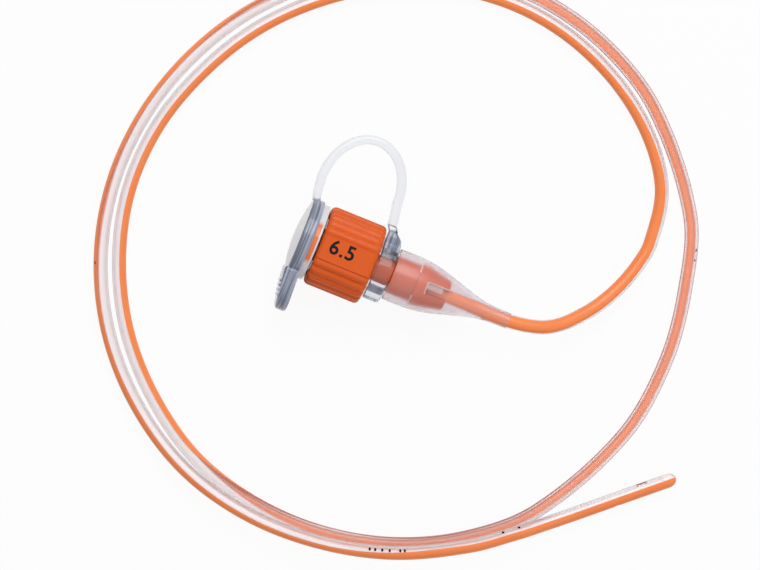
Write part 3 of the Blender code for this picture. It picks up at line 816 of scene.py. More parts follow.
def close_tree(nodes, given, geometry):
    """End a tree in Realize Instances and Set Material."""
    real = nodes.filled("GeometryNodeRealizeInstances", geometry)
    coat = nodes.add("GeometryNodeSetMaterial")
    nodes.feed(coat, Geometry=real, Material=given["Material"])
    nodes.feed(nodes.add("NodeGroupOutput"), Geometry=coat.outputs["Geometry"])
    return nodes.tree


def grown(name, tree, values, mesh=None):
    """Object of the mesh that a tree makes with these input values."""
    thing = added(name, mesh or bpy.data.meshes.new(name))
    if "Material" in values:
        thing.data.materials.append(values["Material"])
    modifier = thing.modifiers.new(name, "NODES")
    modifier.node_group = tree
    for item in tree.interface.items_tree:
        if item.in_out == "INPUT" and item.name in values:
            modifier[item.identifier] = values[item.name]
    return evaluated(thing)


def collar_tree():
    """Tree for the fluted collar: two flat pads between two fans of ribs, with round ends."""
    nodes, size = new_tree(
        "fluted_collar",
        Radius=6.3 * MM,
        Length=8.9 * MM,
        Ribs=10,
        Flute_Depth=0.3 * MM,
        Half_Pad=math.radians(18.75),
        Round_Length=0.8 * MM,
        Round_Depth=0.75 * MM,
        Steps_Along=37,
        Steps_Around=481,
    )
    maths, product = nodes.maths, nodes.product
    grid = nodes.add("GeometryNodeMeshGrid")
    nodes.feed(grid, Size_X=1.0, Size_Y=1.0)
    nodes.feed(grid, Vertices_X=size["Steps Along"], Vertices_Y=size["Steps Around"])
    u, v = nodes.axes(nodes.add("GeometryNodeInputPosition").outputs[0])[:2]

    half_length = product(size["Length"], 0.5)
    along = product(maths("SINE", product(u, math.pi)), half_length)
    past = maths("SUBTRACT", maths("ABSOLUTE", along), half_length)
    past = maths("MAXIMUM", maths("ADD", past, size["Round Length"]), 0.0)
    past = maths("DIVIDE", past, size["Round Length"])
    fall = maths("MAXIMUM", maths("SUBTRACT", 1.0, product(past, past)), 0.0)
    inset = product(maths("SUBTRACT", 1.0, maths("SQRT", fall)), size["Round Depth"])

    turn = product(v, math.tau)
    side = maths("ABSOLUTE", turn)
    from_pad = maths("MINIMUM", side, maths("SUBTRACT", math.pi, side))
    on_pad = maths("LESS_THAN", from_pad, maths("SUBTRACT", size["Half Pad"], 0.001))
    fan = maths("SUBTRACT", math.pi, product(size["Half Pad"], 2.0))
    share = maths("DIVIDE", maths("SUBTRACT", side, size["Half Pad"]), fan)
    phase = maths("FRACT", product(share, size["Ribs"]))
    crest = maths("SINE", product(phase, math.pi))
    groove = product(maths("SUBTRACT", 1.0, crest), size["Flute Depth"])
    ribbed = maths("SUBTRACT", size["Radius"], groove)
    chord = product(size["Radius"], maths("COSINE", size["Half Pad"]))
    on_chord = maths("COSINE", maths("MINIMUM", from_pad, size["Half Pad"]))
    step = maths("SUBTRACT", maths("DIVIDE", chord, on_chord), ribbed)
    radius = maths("SUBTRACT", maths("ADD", ribbed, product(step, on_pad)), inset)

    y, z = (product(radius, maths(wave, turn)) for wave in ("SINE", "COSINE"))
    moved = nodes.add("GeometryNodeSetPosition")
    nodes.feed(moved, Geometry=grid.outputs["Mesh"], Position=nodes.vector(along, y, z))
    welded = nodes.add("GeometryNodeMergeByDistance")
    nodes.feed(welded, Geometry=moved.outputs["Geometry"], Distance=0.002 * MM)
    return close_tree(nodes, size, welded.outputs["Geometry"])


def grip_tree():
    """Tree for the row of ridges on the thumb tab: spheres pushed out into blunt bars."""
    nodes, size = new_tree(
        "grip_ridges",
        Count=4,
        Start=(0.0, 0.0, 0.0),
        Step=(0.0, 0.0, 0.0),
        Radius=0.24 * MM,
        Width=4.2 * MM,
    )
    maths = nodes.maths
    row = nodes.add("GeometryNodeMeshLine", mode="OFFSET")
    nodes.feed(row, Count=size["Count"], Start_Location=size["Start"], Offset=size["Step"])
    core = nodes.feed(nodes.add("GeometryNodeMeshUVSphere"), Segments=20, Rings=17, Radius=1.0)
    x, y, z = nodes.axes(nodes.add("GeometryNodeInputPosition").outputs[0])
    drop = maths("SUBTRACT", 1.0, maths("POWER", maths("ABSOLUTE", z), 2.0))
    girth = maths("SQRT", maths("MAXIMUM", drop, 0.0001))
    swell = maths("DIVIDE", maths("POWER", girth, 0.25), girth)
    blunt = nodes.vector(nodes.product(x, swell), nodes.product(y, swell), z)
    bar = nodes.add("GeometryNodeSetPosition")
    nodes.feed(bar, Geometry=core.outputs["Mesh"], Position=blunt)
    slim = nodes.vector(size["Radius"], size["Radius"], nodes.product(size["Width"], 0.5))
    placed = nodes.add("GeometryNodeInstanceOnPoints")
    nodes.feed(placed, Points=row.outputs["Mesh"], Instance=bar.outputs["Geometry"], Scale=slim)
    return close_tree(nodes, size, placed.outputs["Instances"])


def mark_tree():
    """Tree for printed marks: a thin oval of ink on each point, turned with the tube."""
    nodes, given = new_tree("printed_marks", Thickness=0.02 * MM)
    dot = nodes.feed(nodes.add("GeometryNodeMeshUVSphere"), Segments=14, Rings=8, Radius=0.5)
    fields = []
    for label in ("outward", "along", "extent"):
        field = nodes.add("GeometryNodeInputNamedAttribute", data_type="FLOAT_VECTOR")
        fields.append(nodes.feed(field, Name=label).outputs["Attribute"])
    outward, along, extent = fields
    turn = nodes.filled(
        "FunctionNodeAxesToRotation", outward, along, primary_axis="Z", secondary_axis="X"
    )
    x, y = nodes.axes(extent)[:2]
    placed = nodes.add("GeometryNodeInstanceOnPoints")
    nodes.feed(placed, Points=given["Geometry"], Instance=dot.outputs["Mesh"])
    nodes.feed(placed, Rotation=turn, Scale=nodes.vector(x, y, given["Thickness"]))
    return close_tree(nodes, given, placed.outputs["Instances"])


def stripe_turn(degrees):
    """Turn of the stripe from the top, in radians, at an angle about the coil's middle."""
    for (a, low), (b, high) in zip(STRIPE_TURNS, STRIPE_TURNS[1:]):
        if degrees <= b:
            share = max(0.0, (degrees - a) / (b - a))
            return math.radians(low + (high - low) * share)
    return math.radians(STRIPE_TURNS[-1][1])


def route_knots(radius):
    """Points of the tube's middle line from the collar's middle, and their coil angles."""
    floor = radius + TABLE_GAP - AXIS_HEIGHT
    knots = [
        (Vector((x, 0.0, 0.0)), 0.0)
        for x in (TUBE_START, (TUBE_START + SLEEVE_END) / 2.0, SLEEVE_END)
    ]
    for rank, (x, y, height) in enumerate(LEAD_IN):
        degrees = COIL_TURNS[0][0] * (rank + 1) / (len(LEAD_IN) + 1)
        knots.append((Vector((x * MM, y * MM, floor + height * MM)), degrees))
    for degrees, reach, height in COIL_TURNS:
        angle = math.radians(degrees)
        x = (COIL_MIDDLE[0] + reach * math.cos(angle)) * MM
        y = (COIL_MIDDLE[1] + reach * math.sin(angle)) * MM
        knots.append((Vector((x, y, floor + height * MM)), float(degrees)))
    last = COIL_TURNS[-1][0]
    for rank, (x, y, height) in enumerate(RUN_OUT):
        degrees = last + RUN_OUT_DEGREES * (rank + 1)
        knots.append((Vector((x * MM, y * MM, floor + height * MM)), degrees))
    end = Vector((TIP_START[0] * MM, TIP_START[1] * MM, floor))
    heading = Vector((math.cos(TIP_ANGLE), math.sin(TIP_ANGLE), 0.0))
    knots.append((end - heading * TABLE_GAP, last + RUN_OUT_DEGREES * (len(RUN_OUT) + 1)))
    return knots


def tube_route(radius, step):
    """Even points on the tube's middle line, each with its angle about the coil's middle."""
    knots = route_knots(radius)
    last = len(knots) - 1
    dense = []
    for k in range(last):
        before = knots[max(k - 1, 0)][0]
        near, near_angle = knots[k]
        far, far_angle = knots[k + 1]
        after = knots[min(k + 2, last)][0]
        reach = (far - near).length / 3.0
        handle_near = near + (far - before).normalized() * reach
        handle_far = far - (after - near).normalized() * reach
        run = interpolate_bezier(near, handle_near, handle_far, far, KNOT_STEPS + 1)[:-1]
        for n, point in enumerate(run):
            dense.append((point, near_angle + (far_angle - near_angle) * n / KNOT_STEPS))
    dense.append(knots[-1])
    lengths = [(b[0] - a[0]).length for a, b in zip(dense, dense[1:])]
    total = sum(lengths)
    count = round(total / step)
    points = []
    walked = 0.0
    k = 0
    for n in range(count):
        target = total * n / count
        while walked + lengths[k] < target:
            walked += lengths[k]
            k += 1
        share = (target - walked) / lengths[k]
        degrees = dense[k][1] + (dense[k + 1][1] - dense[k][1]) * share
        points.append((dense[k][0].lerp(dense[k + 1][0], share), degrees))
    points.append(dense[-1])
    return points


def tube_axes(before, after):
    """Directions along the tube, to its outer side and up."""
    along = (after - before).normalized()
    side = along.cross(Vector((0.0, 0.0, 1.0))).normalized()
    return along, side, side.cross(along)


def stripe_map(mesh, turns, runs, bases=None):
    """UV map of the stripe from each corner's turn and its metres along the tube.

    A face's turns stay within half a turn of its base, which is its first corner's turn if
    no others are given, so no face runs round the tube.
    """
    layer = mesh.uv_layers.new(name="along_tube")
    for face in mesh.polygons:
        base = bases[face.index] if bases else turns[face.vertices[0]]
        for index in face.loop_indices:
            corner = mesh.loops[index].vertex_index
            turn = base + (turns[corner] - base + 0.5) % 1.0 - 0.5
            layer.data[index].uv = (turn, runs[corner])


def hollow_tube(name, route, radius, wall, sides):
    """Tube along a route, with its lumen, and the stripe's UV map."""
    verts, faces, turns = [], [], []
    count = len(route)
    for k, (point, degrees) in enumerate(route):
        along, side, up = tube_axes(route[max(k - 1, 0)][0], route[min(k + 1, count - 1)][0])
        start = stripe_turn(degrees)
        for reach in (radius, radius - wall):
            for n in range(sides):
                angle = math.tau * n / sides
                verts.append(point + (up * math.cos(angle) + side * math.sin(angle)) * reach)
                turns.append(n / sides - start / math.tau)
    row = 2 * sides
    for k in range(count - 1):
        for n in range(sides):
            a = k * row + n
            b = k * row + (n + 1) % sides
            faces.append((a, b, b + row, a + row))
            faces.append((b + sides, a + sides, a + sides + row, b + sides + row))
    for n in range(sides):
        a = n
        b = (n + 1) % sides
        faces.append((b, a, a + sides, b + sides))
        a += (count - 1) * row
        b += (count - 1) * row
        faces.append((a, b, b + sides, a + sides))
    mesh = bpy.data.meshes.new(name)
    mesh.from_pydata(verts, [], faces)
    step = (route[1][0] - route[0][0]).length
    stripe_map(mesh, turns, [corner // row * step for corner in range(len(verts))])
    for face in mesh.polygons:
        if all(corner % row >= sides for corner in face.vertices):
            face.material_index = 1
    return mesh


def tip_object(settings):
    """Closed round end of the tube with its lumen and two side eyes, along X from its start."""
    radius = settings.diameter / 2.0
    lumen = radius - settings.wall
    length = settings.tip_length
    end = length + TIP_PAST
    outer = []
    for angle in quarter(12):
        outer.append((end - NOSE_LENGTH * (1.0 - math.cos(angle)), radius * math.sin(angle)))
    run = int(length / MM)
    for k in range(1, run):
        outer.append(((end - NOSE_LENGTH) * (1.0 - k / run), radius))
    outer += [(0.0, radius), (0.0, lumen)]
    reach = length - TIP_WALL
    for angle in quarter(8)[1:-1]:
        outer.append((reach - lumen * (1.0 - math.sin(angle)), lumen * math.cos(angle)))
    outer.append((reach, 0.0))
    tip = added("tube_tip_wall", turned("tube_tip_wall", outer, settings.sides))
    for distance, side in EYES:
        bm = bmesh.new()
        half = settings.eye_length / 2.0
        bmesh.ops.create_cone(
            bm, cap_ends=True, segments=32, radius1=half, radius2=half, depth=2.0 * radius
        )
        squeeze = Matrix.Diagonal((1.0, settings.eye_width / settings.eye_length, 1.0, 1.0))
        outward = Matrix.Translation((0.0, 0.0, radius))
        turn = Matrix.Rotation(-side * EYE_TURN, 4, "X")
        place = Matrix.Translation((length - distance, 0.0, 0.0))
        bmesh.ops.transform(bm, matrix=place @ turn @ outward @ squeeze, verts=bm.verts)
        combined(tip, "DIFFERENCE", mesh_from("eye_cutter", bm))
    start = stripe_turn(COIL_TURNS[-1][0])

    def turn_at(point):
        return (math.atan2(-point.y, point.z) - start) / math.tau

    turns = [turn_at(vertex.co) for vertex in tip.data.vertices]
    runs = [vertex.co.x for vertex in tip.data.vertices]
    stripe_map(tip.data, turns, runs, [turn_at(face.center) for face in tip.data.polygons])
    for face in tip.data.polygons:
        reach = math.hypot(face.center.y, face.center.z)
        inner = reach < lumen + 0.02 * MM and face.center.x < length - 1.0 * MM
        face.material_index = int(inner)
    return tip


class FEEDINGTUBE_OT_camera(bpy.types.Operator):
    """Place the camera above the table at the picture's angle"""

    bl_idname = "feedingtube.camera"
    bl_label = "Add Camera"

    def execute(self, context):
        stage = context.scene.feedingtube_stage
        data = bpy.data.cameras.new("table_camera")
        data.sensor_width = SENSOR_WIDTH
        data.lens = SENSOR_WIDTH * stage.camera_distance / stage.picture_width
        data.clip_start = 0.01
        data.clip_end = 20.0
        camera = added("table_camera", data)
        tilt = stage.camera_tilt
        roll = stage.camera_roll
        level = Vector((math.cos(tilt), 0.0, math.sin(tilt)))
        back = Vector((-math.sin(tilt), 0.0, math.cos(tilt)))
        right = level * math.cos(roll) + Vector((0.0, math.sin(roll), 0.0))
        turn = Matrix((right, back.cross(right), back)).transposed().to_4x4()
        place = COLLAR_PLACE + LOOKED_AT + back * stage.camera_distance
        camera.matrix_world = Matrix.Translation(place) @ turn
        context.scene.camera = camera
        return {"FINISHED"}


class FEEDINGTUBE_OT_tube(bpy.types.Operator):
    """Add the clear striped tube and its closed tip"""

    bl_idname = "feedingtube.tube"
    bl_label = "Add Tube"

    def execute(self, context):
        settings = context.scene.feedingtube_tube
        radius = settings.diameter / 2.0
        tip = tip_object(settings)
        floor = radius + TABLE_GAP - AXIS_HEIGHT
        place = Matrix.Translation((TIP_START[0] * MM, TIP_START[1] * MM, floor))
        tip.data.transform(place @ Matrix.Rotation(TIP_ANGLE, 4, "Z"))
        painted(tip, settings, striped_tubing, striped_lumen)
        piece(tip, "tubing", "connector", "tube_tip")
        route = tube_route(radius, settings.ring_step)
        mesh = hollow_tube("tube_wall", route, radius, settings.wall, settings.sides)
        tube = painted(added("tube_wall", mesh), settings, striped_tubing, striped_lumen)
        piece(tube, "tubing", "connector", "feeding_tube")
        return {"FINISHED"}


class FEEDINGTUBE_OT_marks(bpy.types.Operator):
    """Add the printed marks on the tube"""

    bl_idname = "feedingtube.marks"
    bl_label = "Add Marks"

    def execute(self, context):
        settings = context.scene.feedingtube_tube
        radius = settings.diameter / 2.0
        route = tube_route(radius, settings.ring_step)
        places = []
        rows = {"outward": [], "along": [], "extent": []}
        for degrees, turn, length, width in PRINTED_MARKS:
            k = next(n for n in range(len(route) - 2) if route[n + 1][1] >= degrees)
            (near_point, near_angle), (far_point, far_angle) = route[k : k + 2]
            along, side, up = tube_axes(near_point, far_point)
            angle = math.radians(turn)
            outward = up * math.cos(angle) + side * math.sin(angle)
            share = (degrees - near_angle) / (far_angle - near_angle)
            places.append(near_point.lerp(far_point, share) + outward * radius)
            rows["outward"].append(outward)
            rows["along"].append(along)
            rows["extent"].append(Vector((length * MM, width * MM, 0.0)))
        mesh = bpy.data.meshes.new("tube_marks")
        mesh.from_pydata(places, [], [])
        for label, vectors in rows.items():
            layer = mesh.attributes.new(label, "FLOAT_VECTOR", "POINT")
            layer.data.foreach_set("vector", [number for vector in vectors for number in vector])
        values = {"Thickness": MARK_THICKNESS, "Material": shared(printed_ink, settings)}
        piece(grown("tube_marks", mark_tree(), values, mesh), "tubing", "connector")
        return {"FINISHED"}


class FEEDINGTUBE_OT_hub(bpy.types.Operator):
    """Add the orange connector hub with its fluted collar"""

    bl_idname = "feedingtube.hub"
    bl_label = "Add Hub"

    def execute(self, context):
        settings = context.scene.feedingtube_hub
        tube = context.scene.feedingtube_tube
        values = {
            "Radius": settings.collar_radius,
            "Length": settings.collar_length,
            "Ribs": settings.rib_count,
            "Flute Depth": settings.flute_depth,
            "Half Pad": settings.pad_half,
            "Material": shared(orange_moulding, settings),
        }
        hub = grown("hub_moulding", collar_tree(), values)
        bm = bmesh.new()
        bm.from_mesh(hub.data)
        bmesh.ops.holes_fill(bm, edges=[edge for edge in bm.edges if edge.is_boundary])
        bmesh.ops.recalc_face_normals(bm, faces=bm.faces)
        bm.to_mesh(hub.data)
        bm.free()
        self.open_mouth(hub)
        self.add_core(hub)
        self.bore(hub, tube)
        painted(hub, settings, orange_moulding)
        piece(hub, "hub", "connector", "connector_hub")
        self.add_bond(tube)
        return {"FINISHED"}

    def open_mouth(self, hub):
        """Cut the collar's mouth and raise the two starts of its thread."""
        pocket = rounded_profile(
            (
                (COLLAR_FRONT - OVERCUT, 0.0, 0.0),
                (COLLAR_FRONT - OVERCUT, MOUTH_RADIUS + MOUTH_CHAMFER, 0.0),
                (COLLAR_FRONT, MOUTH_RADIUS + MOUTH_CHAMFER, 0.0),
                (COLLAR_FRONT + MOUTH_CHAMFER, MOUTH_RADIUS, 0.0),
                (MOUTH_FLOOR, MOUTH_RADIUS, 0.2 * MM),
                (MOUTH_FLOOR, 0.0, 0.0),
            )
        )
        combined(hub, "DIFFERENCE", turned("mouth_pocket", pocket))
        for start in range(THREAD_STARTS):
            sections = []
            for k in range(THREAD_STEPS + 1):
                share = k / THREAD_STEPS
                angle = math.pi * start + math.radians(THREAD_SWEEP) * share
                middle = THREAD_FRONT + THREAD_PITCH * THREAD_SWEEP / 360.0 * share
                ring = []
                for x, height in THREAD_SECTION:
                    reach = MOUTH_RADIUS + height * MM
                    turn = (reach * math.sin(angle), reach * math.cos(angle))
                    ring.append((middle + x * MM, *turn))
                sections.append(ring)
            combined(hub, "UNION", lofted("thread_ridge", sections))

    def add_core(self, hub):
        """Join the male cone, the neck and the stepped barrel to the collar."""
        web = MOUTH_FLOOR + 0.85 * MM
        core = rounded_profile(
            (
                (CONE_FRONT, 0.0, 0.0),
                (CONE_FRONT, CONE_TIP_RADIUS, 0.3 * MM),
                (MOUTH_FLOOR, CONE_ROOT_RADIUS, 0.0),
                (web, CONE_ROOT_RADIUS, 0.0),
                (web, NECK_RADIUS, 0.0),
                (BARREL_FRONT, NECK_RADIUS, 0.15 * MM),
                (BARREL_FRONT, BARREL_RADIUS, 0.2 * MM),
                (STEP_FRONT, BARREL_RADIUS, 0.06 * MM),
                (STEP_FRONT, STEP_RADIUS, 0.12 * MM),
                (STEP_FRONT + 1.3 * MM, STEP_RADIUS, 0.4 * MM),
                (BARREL_END, STEP_END_RADIUS, 0.5 * MM),
                (BARREL_END, 0.0, 0.0),
            )
        )
        combined(hub, "UNION", turned("hub_core", core))

    def bore(self, hub, tube):
        """Cut the bore, the tube's socket and the window over it."""
        radius = tube.diameter / 2.0
        lumen = radius - tube.wall
        profile = [
            (CONE_FRONT - OVERCUT, 0.0),
            (CONE_FRONT - OVERCUT, CONE_BORE_RADIUS),
            (MOUTH_FLOOR, CONE_BORE_RADIUS),
            (COLLAR_BACK, lumen),
            (SOCKET_FLOOR, lumen),
            (SOCKET_FLOOR, radius + SEAT_GAP),
            (BARREL_END + OVERCUT, radius + SEAT_GAP),
            (BARREL_END + OVERCUT, 0.0),
        ]
        combined(hub, "DIFFERENCE", turned("hub_bore", profile, 48))
        half = WINDOW_WIDTH / 2.0
        low = radius / 2.0
        high = STEP_RADIUS + OVERCUT
        sections = [
            ((x, -half, low), (x, half, low), (x, half, high), (x, -half, high))
            for x in (SOCKET_FLOOR, BARREL_END + OVERCUT)
        ]
        window = rounded("socket_window", lofted("socket_window", sections), 0.25 * MM)
        combined(hub, "DIFFERENCE", window)

    def add_bond(self, tube):
        """Add a pale bead beside the tube in the window, painted light over the window's shaded
        floor.
        """
        low = tube.diameter / 2.0 * 0.8
        high = STEP_END_RADIUS - 0.2 * MM
        side = WINDOW_WIDTH / 2.0 - LIGHT_BEAD_GAP
        inner = -0.12 * MM
        ends = ((SOCKET_FLOOR + LIGHT_BEAD_GAP, high), (BARREL_END - 0.9 * MM, high - 0.35 * MM))
        sections = [
            ((x, inner, low), (x, side, low), (x, side, top), (x, inner, top - 0.25 * MM))
            for x, top in ends
        ]
        bead = rounded("painted_light_bead", lofted("painted_light_bead", sections), 0.12 * MM)
        piece(painted(bead, tube, painted_light_fill), "hub", "connector")


class FEEDINGTUBE_OT_figures(bpy.types.Operator):
    """Add the size figures on the collar's pad"""

    bl_idname = "feedingtube.figures"
    bl_label = "Add Figures"

    def execute(self, context):
        hub = context.scene.feedingtube_hub
        curve = bpy.data.curves.new("size_figures", "FONT")
        curve.body = "6.5"
        curve.align_x = "CENTER"
        curve.align_y = "CENTER"
        curve.size = 1.0
        curve.space_character = 1.12
        curve.resolution_u = 6
        curve.extrude = 0.01
        curve.offset = 0.02
        text = added("size_figures", curve)
        depsgraph = context.evaluated_depsgraph_get()
        mesh = bpy.data.meshes.new_from_object(text.evaluated_get(depsgraph))
        bpy.data.objects.remove(text, do_unlink=True)
        low, high = (
            Vector((pick(v.co[k] for v in mesh.vertices) for k in range(3))) for pick in (min, max)
        )
        tall = hub.figure_height / (high.y - low.y)
        wide = FIGURES_WIDTH / (high.x - low.x)
        pad = hub.collar_radius * math.cos(hub.pad_half)
        grow = Matrix.Diagonal((wide, tall, 1.2 * MM, 1.0))
        place = Matrix.Translation((FIGURES_X, FIGURES_Y, pad + FIGURES_LIFT))
        mesh.transform(place @ grow @ Matrix.Translation((low + high) / -2.0))
        figures = added("size_figures", mesh)
        painted(figures, context.scene.feedingtube_tube, printed_ink)
        piece(figures, "hub", "connector")
        return {"FINISHED"}


class FEEDINGTUBE_OT_ring(bpy.types.Operator):
    """Add the clear ring that turns on the hub's neck"""

    bl_idname = "feedingtube.ring"
    bl_label = "Add Ring"

    def execute(self, context):
        settings = context.scene.feedingtube_cap
        profile = rounded_profile(
            (
                (RING_FRONT, settings.ring_bore, 0.2 * MM),
                (RING_FRONT, settings.ring_radius, 0.25 * MM),
                (RING_BACK, settings.ring_radius, 0.55 * MM),
                (RING_BACK, settings.ring_bore, 0.2 * MM),
            ),
            closed=True,
        )
        ring = added("tether_ring_body", turned("tether_ring_body", profile, closed=True))
        combined(ring, "UNION", self.strap_root(settings))
        painted(ring, settings, clear_moulding, painted_shade_moulding, soft_strap)
        # Bands along the ring's top, under the strap's root, and along its bottom take the grey
        # painted shade; the root's upper part takes the strap's material
        for face in ring.data.polygons:
            height = face.center.y / settings.ring_radius
            painted_shade = height > 0.66 or height < -0.90
            face.material_index = int(painted_shade) + int(height > 1.22)
        piece(ring, "clear", "tether", "tether_ring")
        return {"FINISHED"}

    def strap_root(self, settings):
        """Flared root that carries the strap, from the ring's flanks up to the strap's width."""
        radius = settings.ring_radius
        half = settings.strap_width / 2.0
        thick = settings.strap_thickness / 2.0
        front = RING_FRONT + 0.05 * MM
        rows = (
            (radius * 0.62, front, RING_BACK - 0.1 * MM, radius * 0.76),
            (radius * 0.86, front, RING_BACK - 0.1 * MM, radius * 0.55),
            (radius + 0.1 * MM, front, RING_BACK - 0.25 * MM, radius * 0.42),
            (radius + 0.9 * MM, RING_FRONT + 0.02 * MM, STRAP_BACK_X + thick * 1.85, half * 1.15),
            (radius + 1.9 * MM, STRAP_BACK_X - thick, STRAP_BACK_X + thick * 1.1, half),
        )
        sections = [
            ((near, y, -side), (far, y, -side), (far, y, side), (near, y, side))
            for y, near, far, side in rows
        ]
        return rounded("strap_root", lofted("strap_root", sections), 0.3 * MM)


class FEEDINGTUBE_OT_strap(bpy.types.Operator):
    """Add the clear strap from the cap over the collar to the ring"""

    bl_idname = "feedingtube.strap"
    bl_label = "Add Strap"

    def execute(self, context):
        settings = context.scene.feedingtube_cap
        rows = self.middle_line(settings)
        sections = []
        for k, (point, thickness, width) in enumerate(rows):
            along = rows[min(k + 1, len(rows) - 1)][0] - rows[max(k - 1, 0)][0]
            along.normalize()
            normal = Vector((-along.y, along.x, 0.0))
            sections.append(self.section(point, normal, thickness / 2.0, width / 2.0))
        strap = added("tether_strap_body", lofted("tether_strap_body", sections))
        painted(strap, settings, soft_strap)
        strap.data.transform(Matrix.Translation(COLLAR_PLACE))
        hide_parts("tether_strap")
        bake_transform(strap)
        return {"FINISHED"}

    def middle_line(self, settings):
        """Points of the strap's middle line with its thickness and width there."""
        thin = settings.strap_thickness
        wide = settings.strap_width
        rows = [
            (Vector((x * MM, y * MM, 0.0)), thick * MM, wide * share)
            for x, y, thick, share in STRAP_FOOT
        ]
        rows.append((Vector((STRAP_FRONT_X, STRAP_FOOT_TOP, 0.0)), thin * 0.92, wide))
        peak, top = STRAP_PEAK
        line = []
        for angle in quarter(STRAP_STEPS):
            x = peak - (peak - STRAP_FRONT_LEG[0]) * math.cos(angle)
            line.append((x, STRAP_FRONT_LEG[1] + (top - STRAP_FRONT_LEG[1]) * math.sin(angle)))
        for angle in quarter(STRAP_STEPS)[1:]:
            x = peak + (STRAP_BACK_LEG[0] - peak) * math.sin(angle)
            line.append((x, STRAP_BACK_LEG[1] + (top - STRAP_BACK_LEG[1]) * math.cos(angle)))
        line += [
            (4.72 * MM, 8.4 * MM),
            (STRAP_BACK_X, 7.4 * MM),
            (STRAP_BACK_X + 0.05 * MM, settings.ring_radius + 1.85 * MM),
        ]
        return rows + [(Vector((x, y, 0.0)), thin, wide) for x, y in line]

    def section(self, point, normal, half_thick, half_wide):
        """Loop of points round the strap, with round edges."""
        loop = []
        edge = half_thick * 0.75
        for k in range(STRAP_SIDES):
            angle = math.tau * (k + 0.5) / STRAP_SIDES
            across = math.cos(angle)
            out = math.sin(angle)
            z = math.copysign(half_wide - edge, across) + across * half_thick * 0.75
            lift = math.copysign(abs(out) ** 0.8, out) * half_thick
            loop.append(point + normal * lift + Vector((0.0, 0.0, z)))
        return loop


class FEEDINGTUBE_OT_cap(bpy.types.Operator):
    """Add the clear cap with its thumb tab and grip ridges"""

    bl_idname = "feedingtube.cap"
    bl_label = "Add Cap"

    def execute(self, context):
        settings = context.scene.feedingtube_cap
        skirt = MOUTH_RADIUS - THREAD_HEIGHT - SEAT_GAP
        skirt_end = SHOULDER_BACK + SKIRT_LENGTH
        floor = CONE_FRONT - END_GAP
        height = FLANGE_FRONT - DOME_TOP
        sphere = (settings.dome_radius**2 + height**2) / (2.0 * height)
        dome = []
        for k in range(DOME_STEPS + 1):
            radius = settings.dome_radius * k / DOME_STEPS
            dome.append((DOME_TOP + sphere - math.sqrt(sphere**2 - radius**2), radius, 0.0))
        profile = rounded_profile(
            dome
            + [
                (FLANGE_FRONT, settings.flange_radius, 0.3 * MM),
                (FLANGE_BACK, settings.flange_radius, 0.3 * MM),
                (FLANGE_BACK, settings.shoulder_radius, 0.08 * MM),
                (SHOULDER_BACK, settings.shoulder_radius, 0.15 * MM),
                (SHOULDER_BACK, skirt, 0.1 * MM),
                (skirt_end, skirt, 0.25 * MM),
                (skirt_end, CONE_ROOT_RADIUS + SEAT_GAP, 0.1 * MM),
                (floor, CONE_TIP_RADIUS + SEAT_GAP, 0.15 * MM),
                (floor, CONE_BORE_RADIUS - SEAT_GAP, 0.1 * MM),
                (floor + PLUG_DEPTH, CONE_BORE_RADIUS - 2.0 * SEAT_GAP, 0.2 * MM),
                (floor + PLUG_DEPTH, 0.0, 0.0),
            ]
        )
        cap = added("cap_body", turned("cap_body", profile))
        combined(cap, "UNION", self.thumb_tab(settings))
        painted(cap, settings, clear_moulding, satin_dome, painted_shade_moulding, painted_glow_shoulder)
        # The dome takes the satin material, the flange's rim and the thumb tab the grey painted
        # shade, and the shoulder band the painted orange
        for face in cap.data.polygons:
            x, y, z = face.center
            reach = math.hypot(y, z)
            rim = reach > settings.flange_radius - 0.3 * MM and x < FLANGE_BACK
            if x < FLANGE_FRONT and reach < settings.dome_radius:
                face.material_index = 1
            elif rim or y < -settings.flange_radius * 0.97:
                face.material_index = 2
            elif FLANGE_BACK < x < SHOULDER_BACK + 0.01 * MM and reach > skirt + 0.1 * MM:
                face.material_index = 3
            else:
                face.material_index = 0
        piece(cap, "clear", "cap", "cap")
        return {"FINISHED"}

    def thumb_tab(self, settings):
        """Tongue with round edges and its row of grip ridges."""
        half = settings.tab_width / 2.0
        root = -settings.flange_radius * 0.75
        end = settings.flange_radius + settings.tab_reach
        corner = -(end - half)
        outline = [(root, -half), (corner, -half)]
        for k in range(1, 24):
            angle = math.pi * k / 24.0
            outline.append((corner - half * math.sin(angle), -half * math.cos(angle)))
        outline += [(corner, half), (root, half)]

        def rear(y):
            lean = max(0.0, -y - settings.flange_radius) * settings.tab_lean
            return TAB_BACK + lean

        def front(y):
            share = (root - y) / (root + end)
            return rear(y) - (TAB_THICKNESS - TAB_THINNING * share) * MM

        sides = [[(x(y), y, z) for y, z in outline] for x in (rear, front)]
        tab = rounded("thumb_tab", lofted("thumb_tab", sides), 0.45 * MM, 4)
        first = -(settings.flange_radius + 0.85 * MM)
        second = first - settings.grip_pitch
        start = Vector((front(first), first, 0.0))
        values = {
            "Count": settings.grip_count,
            "Start": start,
            "Step": Vector((front(second), second, 0.0)) - start,
            "Radius": settings.grip_radius,
            "Width": settings.tab_width * 0.68,
        }
        combined(tab, "UNION", grown("grip_ridges", grip_tree(), values))
        return tab


